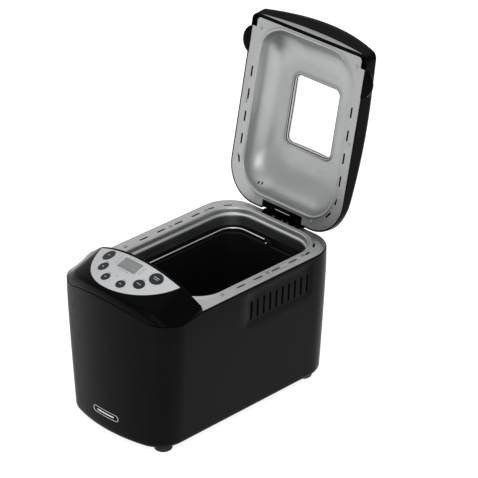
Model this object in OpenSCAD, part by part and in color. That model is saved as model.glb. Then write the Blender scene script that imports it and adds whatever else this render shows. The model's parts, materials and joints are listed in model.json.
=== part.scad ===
// Bread machine with a hinged lid, a lift-out pan and two kneading paddles.
// X runs across the machine, +Y to the rear, +Z up. The origin is on the table,
// under the middle of the machine with its lid open.

/* [Body] */
// Height of the silver deck above the table
deck_h = 228.5; // [215:0.5:250]
// Width of the body at deck level
body_w = 241; // [232:0.5:260]
// Width of the body near the table
base_w = 213; // [205:0.5:225]
// Distance from the hinge to the foremost point of the body
front_len = 380.5; // [374:0.5:390]
// Radius of the bowed front
front_bow = 260; // [200:1:400]
// Thickness of the painted steel wall
wall = 2.4; // [1.6:0.1:3]
// Height of the rubber feet
foot_h = 8; // [6:0.5:12]
// Radius of each foot
foot_r = 14; // [10:0.5:16]

/* [Lid] */
// Angle that the lid stands open at its stop
lid_angle = 101.64; // [0:0.01:101.64]
// Height of the top of the closed lid above the deck
lid_crown = 51.5; // [51:0.5:56]
// Height of the hinge pin above the deck
hinge_rise = 8.76; // [8.5:0.01:10]
// Distance from the hinge pin forward to the seam between lid and control housing
seam_dist = 289; // [285:0.5:293]
// Width of the clear window
window_w = 93.6; // [80:0.1:98]
// Length of the clear window
window_len = 110; // [90:0.5:116]

/* [Control panel] */
// Height of the housing's crest above the deck
crest_h = 49.5; // [45:0.5:52]
// Slope of the panel towards the front, in degrees
panel_tilt = 18; // [14:0.5:20]
// Travel of the push buttons
button_travel = 1; // [0.6:0.1:1]

/* [Baking chamber and pan] */
// Width of the opening in the deck
opening_w = 188; // [184:0.5:192]
// Length of the opening in the deck
opening_len = 260; // [254:0.5:264]
// Width of the pan at its rim
pan_w = 162; // [150:0.5:164]
// Length of the pan at its rim
pan_len = 230; // [220:0.5:232]
// Height of the pan from its floor to its rim
pan_depth = 123; // [110:1:128]
// Distance between the two kneading shafts
shaft_pitch = 107; // [100:1:112]
// Diameter of the bail handle's wire
wire_d = 3; // [2.5:0.1:3.2]

/* [Drive] */
// Pitch radius of the big drive pulley
big_pulley_r = 50; // [45:1:52]
// Pitch radius of the motor pulley
motor_pulley_r = 10; // [9:0.5:11]
// Radius of the motor's can
motor_r = 37; // [30:1:38]

/* [Hidden] */
$fn = 64;
BIG = 600;

// Directions and levels shared by several parts
hinge_z = deck_h + hinge_rise;
lean = 0.3;
lid_long_r = 1950;
lid_cross_r = 260;
mid_dist = seam_dist / 2 + 4.5;
function ridge(d) = lid_crown - lid_long_r + sqrt(pow(lid_long_r, 2) - pow(d - mid_dist, 2));
lid_top_dist = seam_dist + lean * ridge(seam_dist + lean * lid_crown);
lid_top_z = ridge(lid_top_dist);
open_reach = lid_top_dist * -cos(101.64) + (lid_top_z - hinge_rise) * sin(101.64);
hinge_y = (front_len - open_reach) / 2;
front_y = hinge_y - front_len;
seam_y = hinge_y - seam_dist;
mid_y = hinge_y - mid_dist;
rear_y = hinge_y - 0.2;

// Levels of the sheet-metal parts
plate_t = 1.2;
rim_z = deck_h - plate_t;
lid_rim = 1.6;
lid_wall = 2;
pane_t = 1.8;
lid_rear = hinge_y + 4.4;
dish_depth = 37.4;
liner_z = deck_h + 2;
base_top = foot_h + 2.5;

// Chamber, pan and drive
chamber_w = opening_w - 5;
chamber_len = opening_len - 6;
chamber_floor = 56;
pan_floor = 73;
pan_rim = pan_floor + pan_depth;
shaft_r = 4;
front_shaft_y = mid_y - shaft_pitch / 2;
rear_shaft_y = mid_y + shaft_pitch / 2;
motor_y = seam_y - 37;
coupling_z = chamber_floor + 2;
belt_t = 2;
belt_gap = 0.4;

// Feet
foot_x = 84;
foot_front_y = hinge_y - 341;
foot_rear_y = hinge_y - 42;
// Each foot's screw stands nearer the middle of the machine than the foot's centre
FOOT_SCREWS = [
    for (sx = [-1, 1], p = [[foot_front_y, 1], [foot_rear_y, -1]]) [sx * (foot_x - 6), p[0] + p[1] * 6]
];

// Cable inlet in the rear wall
gland_x = -44;
gland_z = 44;

// Control panel: a cylinder of radius crest_r whose axis falls towards the front
crest_r = 210;
crest_y = seam_y - lean * crest_h;
crest_z = deck_h + crest_h;
// The fascia's front edge is half of an ellipse
lens_half_w = 89.5;
lens_half_len = 106;
lens_y = seam_y + 20;
fascia_gap = 2.2;
fascia_t = 1.6;
fit_gap = 0.3;
board_depth = 21;
switch_top = 4;
// Each button: x, distance in front of the crest, radius
BUTTONS = [
    [51, 18, 10.4], [38.5, 41.5, 8.6], [16, 57.5, 7.3], [-16, 57.5, 7.3], [-38.5, 41.5, 8.6], [-51, 18, 10.4]
];
display_size = [37.6, 21.6];
display_dist = 21.4;

// ---------------------------------------------------------------- plain helpers

// Outline of the machine seen from above: bowed front, straight sides, round corners
function arc(c, r, a0, a1, n) = [for (i = [0 : n]) let (a = a0 + (a1 - a0) * i / n) c + r * [cos(a), sin(a)]];
function plan_points(half_w, front, rear, r_front, r_rear) =
    let (
        bow_c = [0, front + front_bow],
        cx = half_w - r_front,
        cy = bow_c[1] - sqrt(pow(front_bow - r_front, 2) - cx * cx),
        a = atan2(cy - bow_c[1], cx)
    )
    concat(
        arc(bow_c, front_bow, -180 - a, a, 10),
        arc([cx, cy], r_front, a, 0, 8),
        arc([half_w - r_rear, rear - r_rear], r_rear, 0, 90, 8),
        arc([r_rear - half_w, rear - r_rear], r_rear, 90, 180, 8),
        arc([-cx, cy], r_front, 180, 180 - a, 8)
    );

module plan(inset, z, h) {
    translate([0, 0, z])
        linear_extrude(h)
            polygon(plan_points(body_w / 2 - inset, front_y + inset, rear_y - inset, 44 - inset, 52 - inset));
}

module base_plan(inset, z, h) {
    translate([0, 0, z])
        linear_extrude(h)
            polygon(plan_points(base_w / 2 - inset, front_y + 1 + inset, rear_y - 2 - inset, 60 - inset, 50 - inset));
}

// Rectangle with round corners, centred, as exact circles and squares
module round_rect(w, l, r) {
    square([w - 2 * r, l], center = true);
    square([w, l - 2 * r], center = true);
    for (sx = [-1, 1], sy = [-1, 1])
        translate([sx * (w / 2 - r), sy * (l / 2 - r)])
            circle(r);
}

module slab(w, l, r, z, h, y = 0) {
    translate([0, y, z])
        linear_extrude(h)
            round_rect(w, l, r);
}

module rod(p, axis, r, h) {
    translate(p)
        rotate(axis == "x" ? [0, 90, 0] : axis == "y" ? [-90, 0, 0] : [0, 0, 0])
            cylinder(r = r, h = h);
}

// A tube outline: the straight and bent runs of a round bar lying flat, bend radius b
module bar_corner(p, b, r, a0) {
    translate(p)
        rotate([0, 0, a0])
            rotate_extrude(angle = 90)
                translate([b, 0])
                    circle(r, $fn = 24);
}

// Belt running around two round pulleys on the Y axis, with wrap radii r1 and r2
module belt_outline(y1, r1, y2, r2) {
    s = (r1 - r2) / (y2 - y1);
    c = sqrt(1 - s * s);
    for (p = [[y1, r1], [y2, r2]])
        translate([0, p[0]])
            circle(p[1]);
    polygon([
        [c * r1, y1 + s * r1], [c * r2, y2 + s * r2],
        [-c * r2, y2 + s * r2], [-c * r1, y1 + s * r1]
    ]);
}

module belt(y1, r1, y2, r2, z, h) {
    translate([0, 0, z])
        linear_extrude(h)
            difference() {
                belt_outline(y1, r1 + belt_gap + belt_t, y2, r2 + belt_gap + belt_t);
                belt_outline(y1, r1 + belt_gap, y2, r2 + belt_gap);
            }
}

module pulley(r, z, h) {
    translate([0, 0, z])
        cylinder(r = r, h = h);
    for (dz = [-1.5, h])
        translate([0, 0, z + dz])
            cylinder(r = r + 3.5, h = 1.5);
}

// ---------------------------------------------------------------- body

// Lofted body, with its walls moved in by inset and both ends moved out by over
module body_solid(inset, over) {
    hull() {
        plan(inset, rim_z - 1 + over, 1);
        base_plan(inset, foot_h + 12, 1);
        base_plan(inset + 7, foot_h - over, 1);
    }
}

module body_shell() {
    color([0.11, 0.11, 0.11])
        difference() {
            body_solid(0, 0);
            body_solid(wall, 1);
            vent_slots();
            rod([gland_x, rear_y - 20, gland_z], "y", 8, 30);
        }
}

// Ten upright slots near the deck on both sides
module vent_slots() {
    for (i = [0 : 9])
        translate([-BIG / 2, mid_y - 42 + i * 13.2 - 2, deck_h - 55])
            cube([BIG, 4, 31.5]);
}

module base_plate() {
    color([0.2, 0.2, 0.2])
        difference() {
            base_plan(10.3, foot_h, base_top - foot_h);
            for (p = FOOT_SCREWS)
                rod([p[0], p[1], 0], "z", 2.2, 20);
            for (i = [-4 : 4])
                translate([i * 9 - 1.5, motor_y - 22, 0])
                    cube([3, 44, 20]);
        }
}

module foot(sx, y) {
    color([0.06, 0.06, 0.06])
        difference() {
            translate([sx * foot_x, y, 0])
                rotate_extrude()
                    polygon([
                        [0, 0], [foot_r - 2.5, 0], [foot_r - 0.8, 0.7], [foot_r, 2.4],
                        [foot_r, foot_h - 1], [foot_r - 1, foot_h], [0, foot_h]
                    ]);
            for (p = FOOT_SCREWS) {
                rod([p[0], p[1], -1], "z", 2.2, 20);
                rod([p[0], p[1], -1], "z", 4.2, 4);
            }
        }
}

module foot_front_left() { foot(-1, foot_front_y); }
module foot_front_right() { foot(1, foot_front_y); }
module foot_rear_left() { foot(-1, foot_rear_y); }
module foot_rear_right() { foot(1, foot_rear_y); }

// Deck slots: four a side along the opening, then two round each rear corner
SLOT_ROWS = [for (i = [0 : 3]) hinge_y - 199.2 + 36.6 * i];
module slot(x, y, angle, l) {
    translate([x, y, 0])
        rotate([0, 0, angle])
            translate([-l / 2, -1.25, -5])
                cube([l, 2.5, 10]);
}

module rim_slots() {
    for (sx = [-1, 1]) {
        for (y = SLOT_ROWS)
            slot(sx * 105, y, 90, 16);
        slot(sx * 101.8, hinge_y - 56.8, 90 + sx * 16, 10.5);
        slot(sx * 90.3, hinge_y - 32.9, 90 + sx * 37, 12.5);
    }
}

DECK_SCREWS = [for (sx = [-1, 1], dy = [-92, 2, 78]) [sx * (dy > 60 ? 104 : 104.5), mid_y + dy + 4]];

module deck_plate() {
    color([0.72, 0.73, 0.72])
        difference() {
            union() {
                difference() {
                    plan(1.2, rim_z, plate_t);
                    translate([-BIG / 2, seam_y - BIG - 0.6, 0])
                        cube([BIG, BIG, BIG]);
                }
                slab(opening_w, opening_len, 46, rim_z - 6, 6, mid_y);
            }
            slab(opening_w - 2.4, opening_len - 2.4, 44.8, rim_z - 10, 20, mid_y);
            translate([0, 0, deck_h])
                rim_slots();
            for (p = DECK_SCREWS)
                rod([p[0], p[1], rim_z - 5], "z", 1.7, 20);
            for (sx = [-1, 1])
                rod([sx * 15, hinge_y - 8.4, rim_z - 5], "z", 1.7, 20);
        }
}

module deck_screws() {
    color([0.6, 0.6, 0.6]) {
        for (p = DECK_SCREWS)
            screw([p[0], p[1], deck_h], 1.5, 3, 1.1, 8);
        for (sx = [-1, 1])
            screw([sx * 15, hinge_y - 8.4, deck_h + 1.2], 1.5, 2.4, 0.6, 8);
    }
}

// Screw with its head upwards, seated at p
module screw(p, r, head_r, head_h, l) {
    translate(p) {
        difference() {
            cylinder(r = head_r, h = head_h);
            translate([-head_r, -0.35, head_h - 0.4])
                cube([2 * head_r, 0.7, 1]);
        }
        translate([0, 0, -l])
            cylinder(r = r, h = l);
    }
}

module base_screws() {
    color([0.6, 0.6, 0.6])
        for (p = FOOT_SCREWS)
            translate([p[0], p[1], 3])
                mirror([0, 0, 1])
                    screw([0, 0, 0], 2, 3.6, 1.4, base_top - 3.1);
}

module cord_gland() {
    color([0.07, 0.07, 0.07])
        difference() {
            union() {
                rod([gland_x, rear_y - 12, gland_z], "y", 7.8, 14);
                rod([gland_x, rear_y - 1.6, gland_z], "y", 10.5, 3.6);
                rod([gland_x, rear_y - 7.6, gland_z], "y", 10, 3);
            }
            rod([gland_x, rear_y - 20, gland_z], "y", 3.6, 40);
        }
}

module badge() {
    color([0.75, 0.76, 0.77])
        intersection() {
            translate([0, front_y - 2, 40.5])
                rotate([-90, 0, 0])
                    linear_extrude(30)
                        round_rect(54, 11, 5.4);
            difference() {
                body_solid(-0.6, 0);
                body_solid(0, 0);
            }
        }
}

// ---------------------------------------------------------------- chamber

module oven_chamber() {
    color([0.25, 0.26, 0.27])
        difference() {
            slab(chamber_w, chamber_len, 43, chamber_floor, deck_h - 2.4 - chamber_floor, mid_y);
            difference() {
                slab(chamber_w - 1.6, chamber_len - 1.6, 42.2, chamber_floor + 1, BIG, mid_y);
                for (sy = [-1, 1])
                    translate([-38, mid_y + sy * 92 - 3, chamber_floor])
                        cube([76, 6, pan_floor - 0.1 - chamber_floor]);
            }
            for (y = [front_shaft_y, rear_shaft_y])
                rod([0, y, chamber_floor - 5], "z", 10.2, 20);
            for (sx = [-1, 1])
                rod([sx * 18, mid_y - chamber_len / 2 - 10, 82], "y", 5.2, 20);
            rod([-52, mid_y + chamber_len / 2 - 10, 120], "y", 3.2, 20);
        }
}

// Sheathed heating rod round the foot of the chamber, with its two ends through the front wall
module heating_element() {
    r = 3.2;
    z = 82;
    hx = chamber_w / 2 - 6.6;
    hy = chamber_len / 2 - 6.6;
    b = 34;
    color([0.3, 0.31, 0.3])
        translate([0, mid_y, z]) {
            bar_corner([hx - b, hy - b, 0], b, r, 0);
            bar_corner([b - hx, hy - b, 0], b, r, 90);
            bar_corner([b - hx, b - hy, 0], b, r, 180);
            bar_corner([hx - b, b - hy, 0], b, r, 270);
            rod([b - hx, hy, 0], "x", r, 2 * (hx - b));
            for (sx = [-1, 1])
                rod([sx * hx, b - hy, 0], "y", r, 2 * (hy - b));
            rod([b - hx, -hy, 0], "x", r, hx - b - 18 + r);
            rod([18 - r, -hy, 0], "x", r, hx - b - 18 + r);
            for (sx = [-1, 1]) {
                rod([sx * 18, -hy - 22, 0], "y", r, 22);
                rod([sx * 18, -hy - 11, 0], "y", 5.1, 7);
            }
        }
}

module temperature_sensor() {
    color([0.7, 0.7, 0.7]) {
        rod([-52, mid_y + chamber_len / 2 - 5, 120], "y", 3, 9);
        rod([-52, mid_y + chamber_len / 2 + 0.1, 120], "y", 6, 2);
    }
}

// Sprung steel tongues on the chamber floor that steady the pan's foot
module pan_clips() {
    color([0.75, 0.75, 0.76])
        for (m = [0, 1])
            translate([0, mid_y, chamber_floor + 1])
                mirror([0, m, 0]) {
                    translate([-15, pan_len / 2 - 15, 0])
                        cube([30, 10.4, 1]);
                    translate([-15, pan_len / 2 - 5.6, 0])
                        cube([30, 1, 30]);
                }
}

// Steel bridge under the chamber that carries the drive bearings
module drive_bracket() {
    color([0.62, 0.63, 0.64])
        difference() {
            union() {
                translate([-66, mid_y - 112, 49])
                    cube([132, 205, 1.6]);
                for (sx = [-1, 1])
                    translate([sx * 66 - (sx > 0 ? 1.6 : 0), mid_y - 112, base_top])
                        cube([1.6, 205, 40]);
            }
            for (y = [front_shaft_y, rear_shaft_y])
                rod([0, y, 40], "z", 8.05, 20);
        }
}

module bearing(y) {
    color([0.72, 0.58, 0.3])
        difference() {
            union() {
                rod([0, y, 46], "z", 8, chamber_floor - 46);
                rod([0, y, 50.6], "z", 10, 5.4);
            }
            rod([0, y, 40], "z", shaft_r + 0.05, 30);
        }
}

module bearing_front() { bearing(front_shaft_y); }
module bearing_rear() { bearing(rear_shaft_y); }

// Slotted cup that takes the wing on the pan's shaft
module coupling() {
    difference() {
        cylinder(r = 9.6, h = 8);
        translate([-20, -2.3, 2.5])
            cube([40, 4.6, 10]);
        translate([0, 0, 2.5])
            cylinder(r = 5, h = 10);
    }
}

module drive_shaft_front() {
    color([0.6, 0.61, 0.62])
        translate([0, front_shaft_y, 0]) {
            translate([0, 0, 16])
                cylinder(r = shaft_r, h = coupling_z - 16);
            translate([0, 0, coupling_z])
                coupling();
            pulley(big_pulley_r, 34.5, 7);
            pulley(18, 21.5, 6);
        }
}

module drive_shaft_rear() {
    color([0.6, 0.61, 0.62])
        translate([0, rear_shaft_y, 0]) {
            translate([0, 0, 16])
                cylinder(r = shaft_r, h = coupling_z - 16);
            translate([0, 0, coupling_z])
                coupling();
            pulley(18, 21.5, 6);
        }
}

module motor_belt() {
    color([0.08, 0.08, 0.08])
        belt(motor_y, motor_pulley_r, front_shaft_y, big_pulley_r, 35, 6);
}

module linking_belt() {
    color([0.08, 0.08, 0.08])
        belt(front_shaft_y, 18, rear_shaft_y, 18, 22, 5);
}

// ---------------------------------------------------------------- motor and electrics

module motor() {
    color([0.45, 0.46, 0.47])
        translate([0, motor_y, 0])
            difference() {
                union() {
                    translate([0, 0, 52])
                        cylinder(r = motor_r, h = 24);
                    translate([0, 0, 76])
                        cylinder(r = motor_r - 4, h = 22);
                    translate([0, 0, 98])
                        cylinder(r = 12, h = 6);
                    translate([-motor_r, -6, 49])
                        cube([2 * motor_r, 12, 3]);
                    for (sx = [-1, 1])
                        translate([sx * (motor_r - 5), 0, base_top])
                            cylinder(r = 4, h = 52 - base_top);
                }
                translate([0, 0, 40])
                    cylinder(r = shaft_r - 1 + 0.05, h = 48);
            }
}

module motor_pulley() {
    color([0.6, 0.61, 0.62])
        translate([0, motor_y, 0]) {
            translate([0, 0, 30])
                cylinder(r = shaft_r - 1, h = 55);
            pulley(motor_pulley_r, 34.5, 7);
        }
}

module run_capacitor() {
    color([0.85, 0.85, 0.83]) {
        rod([72, motor_y - 2, base_top], "z", 16, 62);
        for (dx = [-5, 5])
            translate([72 + dx - 0.5, motor_y - 5, base_top + 62])
                cube([1, 6, 8]);
    }
}

module power_board() {
    color([0.1, 0.35, 0.2])
        translate([-76, motor_y - 28, base_top]) {
            cube([1.6, 62, 92]);
            translate([1.6, 8, 12])
                cube([16, 22, 20]);
            translate([1.6, 40, 12])
                cube([12, 18, 26]);
            translate([1.6, 12, 48])
                cube([20, 3, 32]);
        }
}

// ---------------------------------------------------------------- control panel

// Moves children onto the crest line: z = 0 is the panel surface above the crest's back end
module on_crest() {
    translate([0, crest_y, crest_z])
        rotate([panel_tilt, 0, 0])
            children();
}

// Everything under the crowned panel surface, lowered by depth
module under_crest(depth) {
    on_crest()
        translate([0, 40, -crest_r])
            rotate([90, 0, 0])
                cylinder(r = crest_r - depth, h = 200, $fn = 180);
}

// Everything in front of the leaning seam plane, set back by gap
module before_seam(gap) {
    translate([0, seam_y - gap, deck_h])
        rotate([atan(lean), 0, 0])
            translate([-BIG / 2, -BIG, -100])
                cube([BIG, BIG, 300]);
}

module lens(grow) {
    translate([0, lens_y, deck_h - 20])
        linear_extrude(120)
            polygon([
                for (i = [0 : 3 : 357]) [(lens_half_w + grow) * cos(i), (lens_half_len + grow) * sin(i)]
            ]);
}

module button_bore(b, r, z, h) {
    on_crest()
        translate([b[0], -b[1], z])
            cylinder(r = r, h = h);
}

module display_box(grow, z, h) {
    on_crest()
        translate([-display_size[0] / 2 - grow, -display_dist - display_size[1] / 2 - grow, z])
            cube([display_size[0] + 2 * grow, display_size[1] + 2 * grow, h]);
}

module control_housing() {
    color([0.09, 0.09, 0.09])
        difference() {
            intersection() {
                plan(0, rim_z, 100);
                under_crest(0);
                before_seam(1);
            }
            difference() {
                intersection() {
                    plan(wall, rim_z - 1, 100);
                    under_crest(fascia_t + wall);
                    before_seam(1 + wall);
                }
                for (sx = [-1, 1])
                    on_crest()
                        translate([sx * 30, -21, 1.6 - board_depth])
                            cylinder(r = 3, h = 20);
            }
            difference() {
                intersection() {
                    lens(fit_gap);
                    before_seam(fascia_gap - fit_gap);
                }
                under_crest(fascia_t);
            }
            for (b = BUTTONS)
                button_bore(b, b[2] + fit_gap, -30, 40);
            display_box(-2, -20, 40);
        }
}

module control_fascia() {
    color([0.78, 0.79, 0.8])
        difference() {
            intersection() {
                lens(0);
                before_seam(fascia_gap);
                under_crest(0);
            }
            under_crest(fascia_t);
            for (b = BUTTONS)
                button_bore(b, b[2] + fit_gap, -30, 40);
            display_box(0, -20, 40);
        }
}

module display_window() {
    color([0.62, 0.63, 0.62])
        difference() {
            intersection() {
                display_box(-0.1, -10, 20);
                under_crest(0.2);
            }
            under_crest(fascia_t);
        }
}

module display_module() {
    color([0.35, 0.37, 0.35]) {
        display_box(3, -12, 5);
        display_box(-4, 1.6 - board_depth, board_depth - 13.6);
    }
}

module control_board() {
    color([0.1, 0.35, 0.2])
        on_crest()
            translate([0, 0, -board_depth]) {
                translate([-64, -64, 0])
                    cube([128, 58.5, 1.6]);
                for (b = BUTTONS)
                    translate([b[0] - 3, -b[1] - 3, 1.6])
                        cube([6, 6, switch_top - 1.6]);
            }
}

// Push button: a cap level with the crowned panel, and a stem that stops just above its switch
stem_foot = switch_top + button_travel + 0.2 - board_depth;
module button(b) {
    color([0.2, 0.2, 0.21]) {
        intersection() {
            button_bore(b, b[2], -8.5, 20);
            under_crest(-0.7);
        }
        button_bore(b, 2.5, stem_foot, -8.4 - stem_foot);
    }
}

module start_button() { button(BUTTONS[0]); }
module menu_button() { button(BUTTONS[1]); }
module size_button() { button(BUTTONS[2]); }
module colour_button() { button(BUTTONS[3]); }
module time_up_button() { button(BUTTONS[4]); }
module time_down_button() { button(BUTTONS[5]); }

// ---------------------------------------------------------------- hinge

KNUCKLE_X = [-34, 26];
KNUCKLE_W = 8;

module hinge_bracket() {
    color([0.08, 0.08, 0.08])
        difference() {
            union() {
                translate([-40, hinge_y - 10.5, deck_h])
                    cube([80, 10.2, 1.2]);
                for (x = KNUCKLE_X) {
                    rod([x, hinge_y, hinge_z], "x", 5, KNUCKLE_W);
                    translate([x, hinge_y - 5, deck_h])
                        cube([KNUCKLE_W, 9, hinge_rise]);
                }
            }
            rod([-60, hinge_y, hinge_z], "x", 2.05, 120);
            for (sx = [-1, 1])
                rod([sx * 15, hinge_y - 8.4, rim_z - 5], "z", 1.7, 20);
        }
}

module hinge_pin() {
    color([0.7, 0.7, 0.7])
        rod([-41, hinge_y, hinge_z], "x", 2, 82);
}

// Turns a part of the closed lid to the angle that it stands at
module lid_pose() {
    translate([0, hinge_y, hinge_z])
        rotate([-lid_angle, 0, 0])
            translate([0, -hinge_y, -hinge_z])
                children();
}

module hinge_block() {
    color([0.08, 0.08, 0.08])
        lid_pose()
            difference() {
                union() {
                    translate([-42, hinge_y - 9.8, liner_z])
                        cube([84, 3.4, 10]);
                    for (x = [[-42, -34.4], [-25.6, 25.6], [34.4, 42]])
                        translate([x[0], hinge_y - 9.8, liner_z])
                            cube([x[1] - x[0], 12, 10.5]);
                }
                rod([-60, hinge_y, hinge_z], "x", 2.05, 120);
            }
}

// ---------------------------------------------------------------- lid

module lid_plan(inset, z, h) {
    translate([0, 0, z])
        linear_extrude(h)
            translate([0, (lid_rear + seam_y - 80) / 2])
                round_rect(body_w - 2 * inset, lid_rear - seam_y + 80 - 2 * inset, 52 - inset);
}

// Crowned solid of the closed lid, with its surface lowered by depth
module lid_solid(inset, z) {
    intersection() {
        lid_plan(inset, z, 80);
        translate([0, mid_y + BIG / 2, deck_h + lid_crown - lid_cross_r])
            rotate([90, 0, 0])
                cylinder(r = lid_cross_r - inset, h = BIG, $fn = 180);
        translate([-BIG / 2, mid_y, deck_h + lid_crown - lid_long_r])
            rotate([0, 90, 0])
                cylinder(r = lid_long_r - inset, h = BIG, $fn = 180);
        behind_seam(inset);
    }
}

module behind_seam(gap) {
    translate([0, seam_y + gap, deck_h])
        rotate([atan(lean), 0, 0])
            translate([-BIG / 2, 0, -100])
                cube([BIG, BIG, 300]);
}

module finger_tab(sx) {
    translate([sx * (body_w / 2 - 9.4), seam_y + 41.5, deck_h + lid_rim])
        cylinder(r = 23.4, h = 8);
}

module lid_shell() {
    color([0.09, 0.09, 0.09])
        lid_pose()
            difference() {
                union() {
                    lid_solid(0, deck_h + lid_rim);
                    for (sx = [-1, 1])
                        finger_tab(sx);
                }
                lid_solid(lid_wall, deck_h + lid_rim - 5);
                slab(window_w, window_len, 10, deck_h, 80, hinge_y - 154.6);
                translate([-43, hinge_y, deck_h])
                    cube([86, 20, 17]);
            }
}

LID_SCREWS = [[-100, -270], [-109, -150], [-109, -60], [-60, -9], [60, -9], [109, -60], [109, -150], [100, -270]];

// Dished inner skin of the lid: flat flange, sloping wall and flat roof round the window
module dish(grow, z) {
    hull() {
        slab(190 + 2 * grow, 261.4 + 2 * grow, 48 + grow, z, 0.5, hinge_y - 148.2);
        slab(116 + 2 * grow, 160 + 2 * grow, 30 + grow, liner_z + dish_depth + grow - 0.5, 0.5, hinge_y - 152);
    }
}

module lid_liner() {
    color([0.72, 0.73, 0.72])
        lid_pose()
            difference() {
                union() {
                    intersection() {
                        lid_plan(lid_wall + 0.3, liner_z, 1);
                        behind_seam(lid_wall + 2);
                    }
                    dish(1, liner_z);
                }
                dish(0, liner_z - 0.4);
                slab(window_w, window_len, 10, deck_h, 80, hinge_y - 154.6);
                translate([0, 0, liner_z])
                    rim_slots();
                translate([-42.4, hinge_y - 10.2, deck_h])
                    cube([84.8, 20, 20]);
                for (sx = [-1, 1])
                    translate([sx * 116 - 6, seam_y - 10, deck_h])
                        cube([12, 27, 20]);
                for (p = LID_SCREWS)
                    rod([p[0], hinge_y + p[1], deck_h], "z", 1.7, 20);
            }
}

module lid_screws() {
    color([0.6, 0.6, 0.6])
        lid_pose()
            for (p = LID_SCREWS)
                translate([p[0], hinge_y + p[1], liner_z])
                    mirror([0, 0, 1])
                        screw([0, 0, 0], 1.5, 3, 1.1, 8);
}

// Crowned clear pane held under the lid shell
module lid_window() {
    color([0.8, 0.85, 0.86, 0.35])
        lid_pose()
            difference() {
                intersection() {
                    slab(window_w + 10, window_len + 10, 14, deck_h, 80, hinge_y - 154.6);
                    lid_solid(lid_wall + 0.1, deck_h);
                }
                lid_solid(lid_wall + 0.1 + pane_t, deck_h - 10);
            }
}

module window_gasket() {
    color([0.1, 0.1, 0.1])
        lid_pose()
            difference() {
                intersection() {
                    slab(window_w + 6, window_len + 6, 12, liner_z + dish_depth + 1, 40, hinge_y - 154.6);
                    lid_solid(lid_wall + 0.1 + pane_t, deck_h);
                }
                slab(window_w, window_len, 10, deck_h, 80, hinge_y - 154.6);
            }
}

// ---------------------------------------------------------------- pan

module pan_solid(grow, z) {
    hull() {
        slab(pan_w - 4 + 2 * grow, pan_len - 4 + 2 * grow, 32 + grow, pan_rim - 1, 1, mid_y);
        slab(pan_w - 14 + 2 * grow, pan_len - 14 + 2 * grow, 28 + grow, z, 1, mid_y);
    }
}

module bread_pan() {
    color([0.12, 0.12, 0.12])
        difference() {
            union() {
                pan_solid(0, pan_floor);
                slab(pan_w, pan_len, 34, pan_rim - 3, 3, mid_y);
                for (sy = [-1, 1])
                    translate([-9, mid_y + sy * (pan_len / 2 - 2.2) - 0.8, pan_rim - 3])
                        cube([18, 1.6, 12]);
            }
            pan_solid(-1.5, pan_floor + 1.5);
            slab(pan_w - 7, pan_len - 7, 30.5, pan_rim - 1.5, 3, mid_y);
            for (y = [front_shaft_y, rear_shaft_y])
                rod([0, y, pan_floor - 5], "z", 9, 20);
            rod([0, mid_y - 200, pan_rim + 4], "y", wire_d / 2 + 0.08, 400);
        }
}

module pan_bearings() {
    color([0.6, 0.61, 0.62])
        for (y = [front_shaft_y, rear_shaft_y])
            difference() {
                union() {
                    rod([0, y, pan_floor - 4], "z", 8.9, 10);
                    rod([0, y, pan_floor - 4], "z", 12, 3.9);
                    rod([0, y, pan_floor + 1.6], "z", 12, 4.4);
                }
                rod([0, y, pan_floor - 10], "z", shaft_r + 0.05, 30);
            }
}

// Shaft with the cross wing below and a flat above for the paddle
module pan_shaft(y) {
    color([0.66, 0.67, 0.68])
        translate([0, y, 0])
            difference() {
                union() {
                    translate([0, 0, pan_floor - 7])
                        cylinder(r = shaft_r, h = 32);
                    translate([0, 0, pan_floor - 10])
                        cylinder(r = shaft_r, h = 4);
                    translate([-8.4, -2, pan_floor - 11])
                        cube([16.8, 4, 4.5]);
                }
                translate([2.6, -10, pan_floor + 8])
                    cube([10, 20, 40]);
            }
}

module pan_shaft_front() { pan_shaft(front_shaft_y); }
module pan_shaft_rear() { pan_shaft(rear_shaft_y); }

// Kneading paddle: a hub with a flat-sided bore and one curved fin
module paddle(y) {
    color([0.14, 0.14, 0.14])
        translate([0, y, pan_floor + 8.2])
            difference() {
                union() {
                    cylinder(r1 = 10, r2 = 8, h = 20);
                    intersection() {
                        translate([0, -2.2, 0])
                            cube([44, 4.4, 34]);
                        translate([16, 10, 4])
                            rotate([90, 0, 0])
                                cylinder(r = 28, h = 20);
                    }
                }
                difference() {
                    translate([0, 0, -1])
                        cylinder(r = shaft_r + 0.06, h = 18.2);
                    translate([2.7, -10, -2])
                        cube([10, 20, 30]);
                }
            }
}

module paddle_front() { paddle(front_shaft_y); }
module paddle_rear() { paddle(rear_shaft_y); }

// Wire bail, folded to the left on the pan's rim
module bail_handle() {
    r = wire_d / 2;
    hx = pan_w / 2 - 1;
    hy = pan_len / 2 + 1.4;
    b = 28;
    color([0.8, 0.8, 0.82])
        translate([0, mid_y, pan_rim + 4]) {
            for (sy = [-1, 1]) {
                rod([0, sy > 0 ? hy - 8 : -hy, 0], "y", r, 8);
                translate([0, sy * hy, 0])
                    sphere(r);
                rod([b - hx, sy * hy, 0], "x", r, hx - b);
            }
            bar_corner([b - hx, hy - b, 0], b, r, 90);
            bar_corner([b - hx, b - hy, 0], b, r, 180);
            rod([-hx, b - hy, 0], "y", r, 2 * (hy - b));
        }
}

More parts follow.
